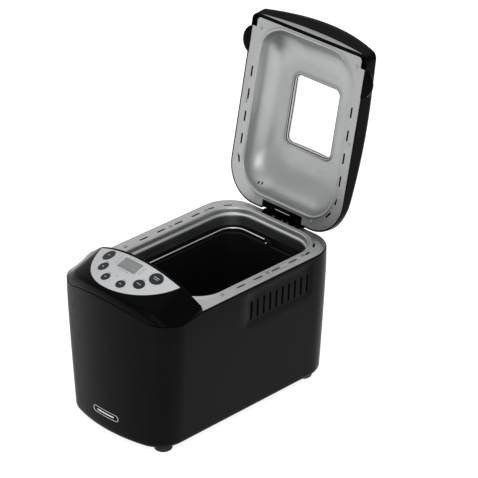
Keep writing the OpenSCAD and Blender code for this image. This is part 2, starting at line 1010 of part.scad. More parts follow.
body_shell();
base_plate();
foot_front_left();
foot_front_right();
foot_rear_left();
foot_rear_right();
deck_plate();
oven_chamber();
heating_element();
temperature_sensor();
pan_clips();
drive_bracket();
bearing_front();
bearing_rear();
motor();
motor_pulley();
motor_belt();
drive_shaft_front();
drive_shaft_rear();
linking_belt();
run_capacitor();
power_board();
cord_gland();
control_housing();
control_fascia();
display_window();
display_module();
control_board();
start_button();
menu_button();
size_button();
colour_button();
time_up_button();
time_down_button();
badge();
hinge_bracket();
hinge_pin();
lid_shell();
lid_liner();
lid_window();
window_gasket();
hinge_block();
bread_pan();
pan_bearings();
pan_shaft_front();
pan_shaft_rear();
paddle_front();
paddle_rear();
bail_handle();
deck_screws();
base_screws();
lid_screws();
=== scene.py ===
"""Looks of the bread machine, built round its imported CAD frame. Lengths are in mm until a mesh is made."""

import json
import math

import bmesh
import bpy
import numpy as np
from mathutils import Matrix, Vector
from mathutils.geometry import delaunay_2d_cdt


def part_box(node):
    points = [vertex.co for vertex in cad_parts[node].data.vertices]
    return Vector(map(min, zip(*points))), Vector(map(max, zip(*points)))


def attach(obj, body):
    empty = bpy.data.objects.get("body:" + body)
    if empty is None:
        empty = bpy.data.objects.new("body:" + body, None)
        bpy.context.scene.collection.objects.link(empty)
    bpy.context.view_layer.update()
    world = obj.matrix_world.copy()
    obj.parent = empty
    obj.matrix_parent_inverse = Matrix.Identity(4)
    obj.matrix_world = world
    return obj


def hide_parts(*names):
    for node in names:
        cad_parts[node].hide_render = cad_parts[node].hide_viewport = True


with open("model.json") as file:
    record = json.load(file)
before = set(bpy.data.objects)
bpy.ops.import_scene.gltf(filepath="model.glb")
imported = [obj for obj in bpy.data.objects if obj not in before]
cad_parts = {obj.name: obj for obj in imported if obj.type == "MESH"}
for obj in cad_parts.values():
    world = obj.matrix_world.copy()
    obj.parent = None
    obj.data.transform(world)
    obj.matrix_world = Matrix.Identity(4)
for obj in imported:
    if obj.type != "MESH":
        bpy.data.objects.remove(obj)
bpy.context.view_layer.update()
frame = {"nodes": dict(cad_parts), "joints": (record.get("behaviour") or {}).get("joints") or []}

MM = 0.001
SEAM_TO_HINGE = 289


# ------------------------------------------------------------------ values read from the frame

def span(node):
    """Lowest and highest corner of a CAD node, in millimetres."""
    low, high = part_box(node)
    return np.array(low) / MM, np.array(high) / MM


def middle_of(node):
    """Middle of a CAD node's box, in millimetres."""
    low, high = span(node)
    return (low + high) / 2


def joint(name):
    return next(j for j in frame["joints"] if j["name"] == name)


body_low, body_high = span("body_shell")
deck_z = span("deck_plate")[1][2]
half_w = body_high[0]
front_y = body_low[1]
rear_y = body_high[1]
foot_h = body_low[2]
_, hinge_y, hinge_z = middle_of("hinge_pin")
seam_y = hinge_y - SEAM_TO_HINGE
lid_angle = math.radians(-joint("lid_hinge")["range_deg"][0])
chamber_low, chamber_high = span("oven_chamber")
mid_y = (chamber_low[1] + chamber_high[1]) / 2
pan_low, pan_high = span("bread_pan")
wire_low, wire_high = span("bail_handle")
press_axis = joint("start_button_press")["axis"]
tilt = math.asin(press_axis[1])

LEAN = 0.3
WALL = 2.4
FRONT_BOW = 260
CREST_R = 210
CREST_H = 49.5
crest_y = seam_y - LEAN * CREST_H
crest_z = deck_z + CREST_H
SHAFT_Y = {end: middle_of(f"pan_shaft_{end}")[1] for end in ("front", "rear")}
opening_half = chamber_high[0] + 2.5
opening_front = chamber_low[1] - 3
opening_rear = chamber_high[1] + 3


# ------------------------------------------------------------------ outlines

def line(p, q, n):
    """n points from p towards q, without q."""
    t = np.arange(n)[:, None] / n
    return np.array(p, float) * (1 - t) + np.array(q, float) * t


def arc(centre, r, a0, a1, n):
    """n points round a centre from angle a0 towards a1 in degrees, without the last."""
    a = np.radians(a0 + (a1 - a0) * np.arange(n) / n)
    return np.stack([centre[0] + r * np.cos(a), centre[1] + r * np.sin(a)], 1)


def rounded(x0, x1, y0, y1, radii, nx=12, ny=16, nc=12):
    """Rectangle with round corners, anticlockwise from the front left.

    The radii go front left, front right, rear right, rear left.
    """
    fl, fr, rr, rl = radii
    return np.vstack([
        line((x0 + fl, y0), (x1 - fr, y0), nx),
        arc((x1 - fr, y0 + fr), fr, -90, 0, nc),
        line((x1, y0 + fr), (x1, y1 - rr), ny),
        arc((x1 - rr, y1 - rr), rr, 0, 90, nc),
        line((x1 - rr, y1), (x0 + rl, y1), nx),
        arc((x0 + rl, y1 - rl), rl, 90, 180, nc),
        line((x0, y1 - rl), (x0, y0 + fl), ny),
        arc((x0 + fl, y0 + fl), fl, 180, 270, nc),
    ])


def grown(half, front, rear, r, grow=0.0, **counts):
    """Rounded rectangle of that half width from front to rear, grown outwards all round."""
    return rounded(-half - grow, half + grow, front - grow, rear + grow, [r + grow] * 4, **counts)


def filleted(corners, n=8):
    """Closed outline through (x, y, radius) corners, each rounded to its radius."""
    points = np.array([c[:2] for c in corners], float)
    out = []
    for i, (*_, r) in enumerate(corners):
        here = points[i]
        before = points[i - 1] - here
        after = points[(i + 1) % len(points)] - here
        before /= np.linalg.norm(before)
        after /= np.linalg.norm(after)
        if r <= 0:
            out.append(here[None])
            continue
        half = math.acos(np.clip(before @ after, -1, 1)) / 2
        reach = r / math.tan(half)
        start = here + before * reach
        end = here + after * reach
        centre = here + (before + after) / np.linalg.norm(before + after) * r / math.sin(half)
        a0 = math.atan2(*(start - centre)[::-1])
        a1 = math.atan2(*(end - centre)[::-1])
        turn = (a1 - a0 + math.pi) % (2 * math.pi) - math.pi
        a = a0 + turn * np.linspace(0, 1, n)
        out.append(centre + r * np.stack([np.cos(a), np.sin(a)], 1))
    return np.vstack(out)


def stadium(x, y, angle, length, width, n=6):
    """Slot outline with round ends, turned by angle in degrees."""
    r = width / 2
    h = length / 2 - r
    points = np.vstack([arc((h, 0), r, -90, 90, n), [[h, r]], arc((-h, 0), r, 90, 270, n), [[-h, -r]]])
    a = math.radians(angle)
    turn = np.array([[math.cos(a), math.sin(a)], [-math.sin(a), math.cos(a)]])
    return points @ turn + (x, y)


def circle(x, y, r, n=32):
    return arc((x, y), r, 0, 360, n)


def lift(outline, z):
    """A flat outline as 3-D points at height z, which may be one number or one for each point."""
    return np.column_stack([outline, np.broadcast_to(z, len(outline))])


def outward(outline):
    """Unit normals of a closed anticlockwise outline."""
    along = np.roll(outline, -1, 0) - np.roll(outline, 1, 0)
    normal = np.stack([along[:, 1], -along[:, 0]], 1)
    return normal / np.linalg.norm(normal, axis=1)[:, None]


def smooth(t):
    """Eases a share between 0 and 1 at both ends."""
    return t * t * (3 - 2 * t)


def inside(points, loop):
    """Which of the points lie inside a closed loop."""
    x, y = points[:, 0:1], points[:, 1:2]
    a, b = loop, np.roll(loop, -1, 0)
    crosses = (a[:, 1] > y) != (b[:, 1] > y)
    rise = np.where(b[:, 1] == a[:, 1], 1, b[:, 1] - a[:, 1])
    at = a[:, 0] + (y - a[:, 1]) * (b[:, 0] - a[:, 0]) / rise
    return (crosses & (x < at)).sum(1) % 2 == 1


# ------------------------------------------------------------------ mesh building

def link(name, data):
    """A new object of that data in the scene."""
    obj = bpy.data.objects.new(name, data)
    bpy.context.scene.collection.objects.link(obj)
    return obj


class Build:
    """Collects points and faces, then makes one object of them."""

    def __init__(self):
        self.points, self.faces = [], []

    def add(self, points, faces):
        first = len(self.points)
        self.points.extend(np.asarray(points, float).tolist())
        self.faces.extend([first + i for i in f] for f in faces)
        return self

    def strip(self, rings, closed=False):
        """Quads between rings of equal length; closed joins the last ring to the first."""
        n, m = len(rings[0]), len(rings)
        faces = []
        for k in range(m if closed else m - 1):
            a, b = k * n, (k + 1) % m * n
            faces += [(a + i, a + (i + 1) % n, b + (i + 1) % n, b + i) for i in range(n)]
        return self.add(np.vstack(rings), faces)

    def grid(self, rows):
        """Quads over open rows of equal length."""
        n, m = len(rows[0]), len(rows)
        faces = [
            (k * n + i, k * n + i + 1, (k + 1) * n + i + 1, (k + 1) * n + i)
            for k in range(m - 1) for i in range(n - 1)
        ]
        return self.add(np.vstack(rows), faces)

    def cap(self, ring):
        """Closes a ring with a fan round its middle."""
        n = len(ring)
        return self.add(np.vstack([ring, ring.mean(0)]), [(i, (i + 1) % n, n) for i in range(n)])

    def sheet(self, outline, holes, step, place):
        """Fills an outline with holes in it by triangles about step long, put in space by place(points)."""
        loops = [outline, *holes]
        edges, first = [], 0
        for loop in loops:
            edges += [(first + i, first + (i + 1) % len(loop)) for i in range(len(loop))]
            first += len(loop)
        border = np.vstack(loops)
        x, y = (np.arange(outline[:, k].min() + step / 2, outline[:, k].max(), step) for k in (0, 1))
        inner = np.stack(np.meshgrid(x, y), -1).reshape(-1, 2)
        inner = inner[inside(inner, outline)]
        for hole in holes:
            inner = inner[~inside(inner, hole)]
        near = np.concatenate([
            np.linalg.norm(part[:, None] - border[None], axis=2).min(1)
            for part in np.array_split(inner, max(1, len(inner) // 500))
        ])
        inner = inner[near > step * 0.45]
        made = delaunay_2d_cdt([Vector(p) for p in np.vstack([border, inner])], edges, [], 0, 1e-5)
        points = np.array([tuple(p) for p in made[0]])
        faces = np.array([f for f in made[2] if len(f) == 3])
        centres = points[faces].mean(1)
        kept = inside(centres, outline)
        for hole in holes:
            kept &= ~inside(centres, hole)
        return self.add(place(points), faces[kept].tolist())

    def lathe(self, profile, n=48, place=None):
        """Turns (radius, height) points round the Z axis; a radius of 0 closes an end."""
        rings = [lift(circle(0, 0, max(r, 1e-4), n), z) for r, z in profile]
        if place:
            rings = [place(r) for r in rings]
        return self.strip(rings)

    def tube(self, path, r, n=14):
        """Round wire along a path of points, closed by round ends."""
        path = np.asarray(path, float)
        ahead = np.gradient(path, axis=0)
        ahead /= np.linalg.norm(ahead, axis=1)[:, None]
        side = np.cross(ahead[0], (0.3, 0.5, 0.8))
        rings = []
        a = 2 * math.pi * np.arange(n) / n
        for p, t in zip(path, ahead):
            side = side - t * (side @ t)
            side /= np.linalg.norm(side)
            up = np.cross(t, side)
            rings.append((p, t, side, up))

        def ring(at, grow, shift):
            p, t, s, u = at
            return p + t * shift + r * grow * (np.cos(a)[:, None] * s + np.sin(a)[:, None] * u)

        ends = [(math.cos(b), r * math.sin(b)) for b in np.radians([85, 60, 30])]
        full = [ring(rings[0], g, -d) for g, d in ends]
        full += [ring(at, 1, 0) for at in rings]
        full += [ring(rings[-1], g, d) for g, d in reversed(ends)]
        return self.strip(full).cap(full[0]).cap(full[-1])

    def linked(self, name, place, facing=None, dissolve=False):
        """The faces as an object in the scene, with double points merged and the normals made even."""
        points = np.array(self.points)
        if place:
            points = place(points)
        mesh = bpy.data.meshes.new(name)
        mesh.from_pydata((points * MM).tolist(), [], self.faces)
        bm = bmesh.new()
        bm.from_mesh(mesh)
        bmesh.ops.remove_doubles(bm, verts=bm.verts, dist=0.02 * MM)
        if dissolve:
            bmesh.ops.dissolve_degenerate(bm, dist=0.002 * MM, edges=bm.edges)
        bmesh.ops.recalc_face_normals(bm, faces=bm.faces)
        if facing is not None:
            total = sum((f.normal * f.calc_area() for f in bm.faces), Vector())
            if total @ Vector(facing) < 0:
                bmesh.ops.reverse_faces(bm, faces=bm.faces)
        bm.to_mesh(mesh)
        bm.free()
        return link(name, mesh)

    def make(self, name, body, material, replaces=(), slot=None, sharp=40, place=None,
             thick=0.0, facing=None, cutters=()):
        """The finished object: merged, smoothed up to the sharp angle, and riding on its body."""
        obj = self.linked(name, place, facing, dissolve=True)
        obj.data.materials.append(material)
        if thick:
            shell = obj.modifiers.new("thickness", "SOLIDIFY")
            shell.thickness = thick * MM
            shell.offset = -1
        for cutter in cutters:
            cut = obj.modifiers.new("cut", "BOOLEAN")
            cut.operation = "DIFFERENCE"
            cut.solver = "EXACT"
            cut.object = cutter
        if obj.modifiers:
            graph = bpy.context.evaluated_depsgraph_get()
            obj.data = bpy.data.meshes.new_from_object(obj.evaluated_get(graph))
            obj.modifiers.clear()
        for cutter in cutters:
            bpy.data.objects.remove(cutter)
        obj.data.name = name
        obj.data.shade_smooth()
        obj.data.set_sharp_from_angle(angle=math.radians(sharp))
        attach(obj, body)
        if replaces:
            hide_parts(*replaces)
        return obj

    def cutter(self, place=None):
        """A hidden object for cutting others; make() removes it again."""
        obj = self.linked("cutter", place)
        obj.hide_render = True
        return obj


def prism(build, outline, z0, z1, place=None):
    """Straight solid over an outline."""
    low, high = lift(outline, z0), lift(outline, z1)
    if place:
        low, high = place(low), place(high)
    return build.strip([low, high]).cap(low).cap(high)


def block(build, low, high, r=0.6, place=None):
    """Box with small rounded edges all round, between two corners."""
    low, high = np.array(low, float), np.array(high, float)
    r = min(r, *(0.45 * (high - low)))
    steps = [(r, 0), (0.3 * r, 0.3 * r), (0, r)]
    levels = [(low[2] + d, g) for g, d in steps] + [(high[2] - d, g) for g, d in reversed(steps)]
    rings = []
    for z, g in levels:
        ring = rounded(low[0] + g, high[0] - g, low[1] + g, high[1] - g, [r] * 4, nx=1, ny=1, nc=3)
        rings.append(lift(ring, z))
    if place:
        rings = [place(ring) for ring in rings]
    return build.strip(rings).cap(rings[0]).cap(rings[-1])


def opened(points):
    """Points of the shut lid, turned to where the lid stands at rest."""
    y, z = points[:, 1] - hinge_y, points[:, 2] - hinge_z
    c, s = math.cos(lid_angle), math.sin(lid_angle)
    return np.stack([points[:, 0], hinge_y + y * c + z * s, hinge_z - y * s + z * c], 1)


# ------------------------------------------------------------------ materials

def material(name, colour, rough, metal=0.0, specular=0.5, vary=0.08, vary_scale=30.0,
             rough_vary=0.05, grain=0.0, grain_scale=1200.0, coat=0.0, coat_rough=0.1,
             transmission=0.0, ior=1.5, speckle=None, brushed=(1, 1, 1)):
    """Principled finish with its own slow colour change, fine roughness change and surface grain."""
    made = bpy.data.materials.new(name)
    made.use_nodes = True
    nodes, links = made.node_tree.nodes, made.node_tree.links
    shader = nodes["Principled BSDF"]
    finish = {
        "Metallic": metal, "Specular IOR Level": specular, "Coat Weight": coat, "Coat Roughness": coat_rough,
        "Transmission Weight": transmission, "IOR": ior,
    }
    for key, value in finish.items():
        shader.inputs[key].default_value = value

    def add(kind, **inputs):
        """A new node with those inputs set; an underscore stands for a space."""
        node = nodes.new("ShaderNode" + kind)
        for key, value in inputs.items():
            node.inputs[key.replace("_", " ")].default_value = value
        return node

    place = add("TexCoord")
    where = add("Mapping", Scale=brushed)
    links.new(place.outputs["Object"], where.inputs["Vector"])

    def noise(scale, detail=3.0):
        n = add("TexNoise", Scale=scale, Detail=detail, Roughness=0.55)
        links.new(where.outputs["Vector"], n.inputs["Vector"])
        return n.outputs["Fac"]

    ramp = add("ValToRGB")
    for stop, at, sign in zip(ramp.color_ramp.elements, (0.3, 0.7), (-1, 1)):
        stop.position = at
        stop.color = (*[min(1, c * (1 + sign * vary)) for c in colour], 1)
    links.new(noise(vary_scale), ramp.inputs["Fac"])
    out = ramp.outputs["Color"]
    if speckle:
        tone, scale, share = speckle
        dots = add("TexVoronoi", Scale=scale)
        links.new(where.outputs["Vector"], dots.inputs["Vector"])
        cut = add("MapRange", From_Min=share, From_Max=share * 0.6)
        links.new(dots.outputs["Distance"], cut.inputs["Value"])
        mix = add("Mix")
        mix.data_type = "RGBA"
        mix.inputs["B"].default_value = (*tone, 1)
        links.new(cut.outputs["Result"], mix.inputs["Factor"])
        links.new(out, mix.inputs["A"])
        out = mix.outputs["Result"]
    links.new(out, shader.inputs["Base Color"])
    change = add("MapRange", From_Min=0.3, From_Max=0.7, To_Min=max(0.02, rough - rough_vary),
                 To_Max=rough + rough_vary)
    links.new(noise(vary_scale * 7, 4.0), change.inputs["Value"])
    links.new(change.outputs["Result"], shader.inputs["Roughness"])
    if grain:
        bump = add("Bump", Strength=grain, Distance=0.0004)
        links.new(noise(grain_scale, 2.0), bump.inputs["Height"])
        links.new(bump.outputs["Normal"], shader.inputs["Normal"])
    return made


paint = material("black_paint", (0.0024, 0.0024, 0.0022), 0.34, specular=0.05, vary=0.12,
                 vary_scale=14, grain=0.08, grain_scale=900)
shell_black = material("black_plastic", (0.0014, 0.0014, 0.0015), 0.2, specular=0.035, vary=0.1,
                       vary_scale=18, rough_vary=0.03, grain=0.04, grain_scale=700)
silver = material("silver_paint", (0.41, 0.42, 0.415), 0.34, metal=0.85, specular=0.5, vary=0.03,
                  vary_scale=25, grain=0.10, grain_scale=2600, speckle=((0.62, 0.63, 0.63), 1900, 0.22))
# Lighter copy of silver_paint for the flat deck: painted light, a raised base colour and speckle making up
# for the light the upward-facing deck gets less of than the upright liner
deck_silver_painted_light = material("deck_silver_painted_light", (0.60, 0.61, 0.605), 0.34, metal=0.85, specular=0.5, vary=0.03,
                       vary_scale=25, grain=0.10, grain_scale=2600, speckle=((0.72, 0.73, 0.73), 1900, 0.22))
fascia_silver = material("fascia_silver", (0.60, 0.615, 0.63), 0.46, metal=0.3, vary=0.02,
                         grain=0.06, grain_scale=3000, speckle=((0.70, 0.71, 0.72), 2300, 0.22))
lens_grey = material("lens_grey", (0.235, 0.245, 0.24), 0.25, vary=0.03, coat=0.6, coat_rough=0.05)
key_grey = material("key_grey", (0.020, 0.021, 0.025), 0.38, specular=0.2, vary=0.06, grain=0.08,
                    grain_scale=1500)
mark_light = material("key_marks", (0.50, 0.51, 0.53), 0.5, vary=0.03)
mark_dark = material("legend_marks", (0.15, 0.16, 0.18), 0.5, vary=0.05)
chamber_steel = material("chamber_steel", (0.085, 0.088, 0.09), 0.36, metal=0.85, vary=0.12, vary_scale=22,
                         grain=0.12, grain_scale=700)
coating = material("pan_coating", (0.006, 0.006, 0.0063), 0.46, specular=0.15, vary=0.15, grain=0.14,
                   grain_scale=1400, speckle=((0.035, 0.035, 0.036), 700, 0.18))
bright_wire = material("bright_wire", (0.78, 0.78, 0.77), 0.14, metal=1.0, vary=0.03, grain=0.03)
clear = material("clear_pane", (0.96, 0.98, 0.98), 0.03, specular=0.5, vary=0.005, rough_vary=0.01,
                 transmission=1.0, ior=1.46)
rubber = material("black_rubber", (0.012, 0.012, 0.012), 0.7, specular=0.3, vary=0.15, grain=0.3,
                  grain_scale=900)
gasket = material("gasket_rubber", (0.02, 0.02, 0.02), 0.6, specular=0.35, vary=0.1, grain=0.15)
zinc = material("zinc_steel", (0.45, 0.46, 0.48), 0.38, metal=1.0, vary=0.15, vary_scale=60, grain=0.08)
screw = material("screw_steel", (0.42, 0.42, 0.42), 0.32, metal=1.0, vary=0.1, vary_scale=200)
alloy = material("cast_alloy", (0.5, 0.5, 0.5), 0.45, metal=1.0, vary=0.08, grain=0.2, grain_scale=1500)
bronze = material("bearing_bronze", (0.42, 0.27, 0.12), 0.4, metal=1.0, vary=0.1)
sheath = material("heater_sheath", (0.09, 0.085, 0.08), 0.5, metal=0.8, vary=0.2, grain=0.12)
motor_steel = material("motor_steel", (0.33, 0.34, 0.35), 0.42, metal=1.0, vary=0.1, brushed=(1, 1, 12))
board = material("board_green", (0.015, 0.11, 0.045), 0.35, vary=0.15, vary_scale=120, coat=0.3)
module_grey = material("module_grey", (0.10, 0.11, 0.10), 0.5, vary=0.05)
capacitor = material("capacitor_white", (0.68, 0.68, 0.65), 0.4, vary=0.03)
belt = material("belt_rubber", (0.016, 0.016, 0.016), 0.65, specular=0.3, vary=0.1, grain=0.3)
throat_white = material("throat_white", (0.86, 0.87, 0.87), 0.3, vary=0.01)
badge_silver = material("badge_silver", (0.70, 0.71, 0.72), 0.22, metal=0.9, vary=0.02, grain=0.03)

# Finish of every CAD node that is shown as it is
CAD_FINISH = {
    "base_plate": paint, "heating_element": sheath, "temperature_sensor": zinc, "pan_clips": zinc,
    "drive_bracket": zinc, "bearing_front": bronze, "bearing_rear": bronze, "motor": motor_steel,
    "motor_pulley": alloy, "motor_belt": belt, "drive_shaft_front": zinc, "drive_shaft_rear": zinc,
    "linking_belt": belt, "run_capacitor": capacitor, "power_board": board, "display_module": module_grey,
    "control_board": board, "hinge_bracket": shell_black, "hinge_pin": zinc, "pan_bearings": alloy,
    "pan_shaft_front": zinc, "pan_shaft_rear": zinc, "deck_screws": screw, "base_screws": screw,
    "lid_screws": screw,
}
for cad_node, finish in CAD_FINISH.items():
    data = frame["nodes"][cad_node].data
    data.materials.clear()
    data.materials.append(finish)
    data.shade_smooth()
    data.set_sharp_from_angle(angle=math.radians(35))


# ------------------------------------------------------------------ body

VENT_PANEL = (mid_y - 51.5, mid_y + 85.5)
SIDE_Y = np.concatenate([
    mid_y - np.array([148.5, 130, 110, 90, 70]), [VENT_PANEL[0], VENT_PANEL[0] + 1.5],
    mid_y + np.array([-30, -10, 10, 30, 50, 70]), [VENT_PANEL[1] - 1.5, VENT_PANEL[1], VENT_PANEL[1] + 6],
])
TOP_R_FRONT, TOP_R_REAR = 40, 52
BASE_R_FRONT, BASE_R_REAR = 48, 46
# How much narrower the base is on each side than the top, and how far its front stands back
BASE_NARROW, BASE_BACK = 14.5, 1
VENT_COUNT, VENT_PITCH, VENT_LEN, VENT_W = 10, 13.2, 31.5, 4
VENT_START = (half_w - 14, mid_y - 42, deck_z - 39.25)
PANEL_PRESS, PANEL_EDGE = 0.7, 1.5
# Where the front's joint line levels out at the sides and the panel's shoulders begin
SHOULDER_X = 84
PARTING_RISE, PARTING_BOW = 9, 0.0023


def front_corner(half, front, r):
    """Middle of the bow, middle of the right front corner, and half of the bow's angle in degrees."""
    bow_y = front + FRONT_BOW
    cx = half - r
    cy = bow_y - math.sqrt((FRONT_BOW - r) ** 2 - cx * cx)
    return bow_y, cx, cy, math.degrees(math.atan2(cx, bow_y - cy))


def machine_plan(half, front, rear, r_front, r_rear):
    """Outline seen from above: bowed front, straight sides, round corners."""
    bow_y, cx, cy, swing = front_corner(half, front, r_front)
    sides = np.concatenate([[cy], SIDE_Y])
    return np.vstack([
        arc((0, bow_y), FRONT_BOW, -90 - swing, -90 + swing, 36),
        arc((cx, cy), r_front, -90 + swing, 0, 16),
        np.stack([np.full(len(sides), half), sides], 1),
        arc((half - r_rear, rear - r_rear), r_rear, 0, 90, 16),
        line((half - r_rear, rear), (r_rear - half, rear), 16),
        arc((r_rear - half, rear - r_rear), r_rear, 90, 180, 16),
        np.stack([np.full(len(sides), -half), np.append(sides[:0:-1], cy)], 1)[:-1],
        arc((-cx, cy), r_front, 180, 270 - swing, 16),
    ])


def top_plan(inset):
    return machine_plan(half_w - inset, front_y + inset, rear_y - inset,
                        TOP_R_FRONT - inset, TOP_R_REAR - inset)


def base_outline(inset):
    return machine_plan(half_w - BASE_NARROW - inset, front_y + BASE_BACK + inset, rear_y - 0.5 - inset,
                        BASE_R_FRONT - inset, BASE_R_REAR - inset)


def taper(z):
    """Share of the base outline in the body's outline at height z."""
    top, base = deck_z - 23, foot_h + 12
    return np.clip((top - z) / (top - base), 0, 1) ** 1.25


def body_outline(z, inset):
    t = taper(z)
    return top_plan(inset) * (1 - t) + base_outline(inset) * t


def parting(points):
    """Height of the joint line between body and control housing, and of the deck's rim behind it."""
    x, y = np.abs(points[:, 0]), points[:, 1]
    front = deck_z + PARTING_RISE - PARTING_BOW * np.minimum(x, SHOULDER_X) ** 2
    side_start, side_end = front_y + 46, seam_y - 2
    t = np.clip((y - side_start) / (side_end - side_start), 0, 1)
    low = deck_z + PARTING_RISE - PARTING_BOW * SHOULDER_X ** 2
    side = low + (deck_z - 0.3 - low) * smooth(t)
    return np.where(y < side_start, front, side)


def body_ring(z):
    """One outer ring of the wall; near the top it bends to follow the joint line."""
    outline = body_outline(z, 0)
    share = np.clip((z - 190) / (deck_z - 190), 0, 1)
    rise = (parting(outline) - deck_z) * share ** 2
    return lift(outline, z + rise)


def pressed_panel(ring):
    """Pushes the vent panels on both sides a little inwards."""
    x, y, z = ring.T
    y_in = np.clip(np.minimum(y - VENT_PANEL[0], VENT_PANEL[1] - y) / PANEL_EDGE, 0, 1)
    z_in = np.clip(np.minimum(z - (deck_z - 61), (deck_z - 7.5) - z) / PANEL_EDGE, 0, 1)
    ring = ring.copy()
    ring[:, 0] -= np.sign(x) * PANEL_PRESS * y_in * z_in * (np.abs(x) > half_w - 20)
    return ring


def vent_cutter():
    """Upright slots through both side walls."""
    cut = Build()
    for k in range(VENT_COUNT):
        for side in (-1, 1):
            corner = np.array(VENT_START) + (0, VENT_PITCH * k, 0)
            prism(cut, stadium(0, 0, 90, VENT_LEN, VENT_W), 0, 20,
                  lambda p: (corner + p[:, [2, 0, 1]]) * (side, 1, 1))
    return cut.cutter()


def gland_cutter():
    """Round hole through the rear wall for the cable inlet."""
    x, _, z = middle_of("cord_gland")
    cut = prism(Build(), circle(0, 0, 8), rear_y - 20, rear_y + 5, lambda p: p[:, [0, 2, 1]] + (x, 0, z))
    return cut.cutter()


def make_body():
    """Painted shell: foot curve, wall with vents, rounded rim, and the same again inside."""
    wall_z = [20, 28, 38, 50, 65, 80, 95, 110, 125, 140, 155]
    wall_z += [deck_z + d for d in (-61, -59.5, -50, -40, -30, -20, -9, -7.5, -5, -2.5)]
    foot_curve = np.radians([0, 15, 30, 45, 60, 75])
    outer = []
    for a in foot_curve:
        z = foot_h + 9 - 9 * math.cos(a)
        outer.append(lift(base_outline(8 * (1 - math.sin(a))), z))
    outer += [pressed_panel(body_ring(z)) for z in wall_z]
    in_front = np.clip((seam_y + 6 - top_plan(0)[:, 1]) / 9, 0, 1)
    share = in_front[:, None]
    # Rim rounding as (inset, drop), in front of the seam and behind it
    rim_front = [(0, 0.9), (0.15, 0.6), (0.25, 0.3), (0.9, 0), (1.5, 0)]
    rim_behind = [(0, 2.2), (0.2, 1.3), (0.7, 0.6), (1.2, 0.15), (1.9, 0)]
    for front, behind in zip(rim_front, rim_behind):
        flat = top_plan(front[0]) * share + top_plan(behind[0]) * (1 - share)
        outer.append(lift(flat, parting(flat) - front[1] * in_front - behind[1] * (1 - in_front)))
    rim = outer[-1][:, :2]
    edge = parting(rim)
    spigot = 0.4 * np.clip((seam_y - rim[:, 1]) / 3, 0, 1)
    outer.append(lift(rim, edge + spigot))
    inner = [lift(top_plan(3.0), edge + spigot), lift(top_plan(3.0), edge - 1.2)]
    inner += [lift(top_plan(WALL), edge - d) for d in (2, 8)]
    inner += [pressed_panel(lift(body_outline(z, WALL), z)) for z in reversed(wall_z[:-2])]
    for a in foot_curve[::-1]:
        z = foot_h + 9 - 7 * math.cos(a)
        inner.append(lift(base_outline(WALL + 8 * (1 - math.sin(a))), z))
    build = Build().strip(outer + inner, closed=True)
    build.make("body_skin", "body", paint, ["body_shell"], "black_paint", sharp=38,
               cutters=[vent_cutter(), gland_cutter()])


def make_feet():
    for end in ("front", "rear"):
        for side in ("left", "right"):
            node = f"foot_{end}_{side}"
            low, high = span(node)
            r = (high[0] - low[0]) / 2
            x, y, _ = middle_of(node)
            top = high[2]
            profile = [
                (0, 1.2), (3.6, 1.2), (4, 0.9), (4.2, 0.2), (4.8, 0), (r - 3, 0), (r - 1.6, 0.3),
                (r - 0.5, 1.2), (r, 2.6), (r, top - 2.2), (r - 0.5, top - 1.4), (r - 1.2, top - 0.6),
                (r - 1.2, top + 2.5), (0, top + 2.5),
            ]
            foot = Build().lathe(profile, 56, lambda p, x=x, y=y: p + (x, y, 0))
            foot.make(node + "_rubber", "body", rubber, [node], "black_rubber", sharp=50)


def make_gland():
    x, _, z = middle_of("cord_gland")
    back = span("cord_gland")[1][1]
    profile = [
        (3.6, -14), (3.6, -0.6), (4.2, 0), (8.6, 0), (9.8, -0.5), (10.4, -1.5), (10.5, -2.2), (7.8, -2.2),
        (7.8, -14), (3.6, -14),
    ]
    bush = Build().lathe(profile, 48, lambda p: p[:, [0, 2, 1]] + (x, back, z))
    bush.make("cord_inlet_bush", "body", rubber, ["cord_gland"], "black_rubber", sharp=50)


def make_badge():
    """Blank pill with a raised border and a plain bar, following the bowed front."""
    low, high = span("badge")
    cx, _, cz = middle_of("badge")
    length, height = high[0] - low[0], high[2] - low[2]

    def wall(p):
        """Puts flat (x, z, height above the wall) points on the front wall."""
        x, z = cx + p[:, 0], cz + p[:, 1]
        bow = FRONT_BOW - np.sqrt(FRONT_BOW ** 2 - x * x)
        return np.stack([x, front_y + BASE_BACK * taper(z) + bow - p[:, 2], z], 1)

    def pill(inset):
        half, r = length / 2 - inset, height / 2 - inset
        return rounded(-half, half, -r, r, [r] * 4, nx=24, ny=1, nc=8)

    def ring(inset, h):
        return wall(lift(pill(inset), h))

    profile = [(0.2, -0.6), (0, 0.35), (0.1, 0.7), (0.3, 0.85), (0.6, 0.85), (0.8, 0.7), (0.9, 0.3)]
    rim = Build().strip([ring(i, h) for i, h in profile])
    rim.make("front_plate", "body", badge_silver, ["badge"], "badge_silver", sharp=50)
    face = Build().strip([ring(0.85, 0.3), ring(1.1, 0.5), ring(2.2, 0.54)])
    face.sheet(pill(2.2), [], 2, lambda q: wall(lift(q, 0.54)))
    face.make("front_plate_face", "body", shell_black, slot="badge_silver", sharp=50)
    bar = Build()
    shape = rounded(-length / 3, length / 3, -1.1, 1.1, [1] * 4, nx=24, ny=1, nc=4)
    bar.sheet(shape, [], 2, lambda q: wall(lift(q, 0.62)))
    bar.make("front_plate_bar", "body", badge_silver, slot="badge_silver", sharp=50)


make_body()
make_feet()
make_gland()
make_badge()


# ------------------------------------------------------------------ deck

SLOT_W = 3.3
SLOT_ROWS = [hinge_y - 199.2 + 36.6 * k for k in range(4)]


def rim_slots():
    """Slot outlines of the deck and the lid liner: on each side four in a row, then two round the corner."""
    slots = []
    for side in (-1, 1):
        slots += [stadium(side * 105, y, 90, 17.5, SLOT_W) for y in SLOT_ROWS]
        slots.append(stadium(side * 104, hinge_y - 56.4, 90 + side * 14, 12, SLOT_W))
        slots.append(stadium(side * 93, hinge_y - 30.8, 90 + side * 37, 14, SLOT_W))
    return slots


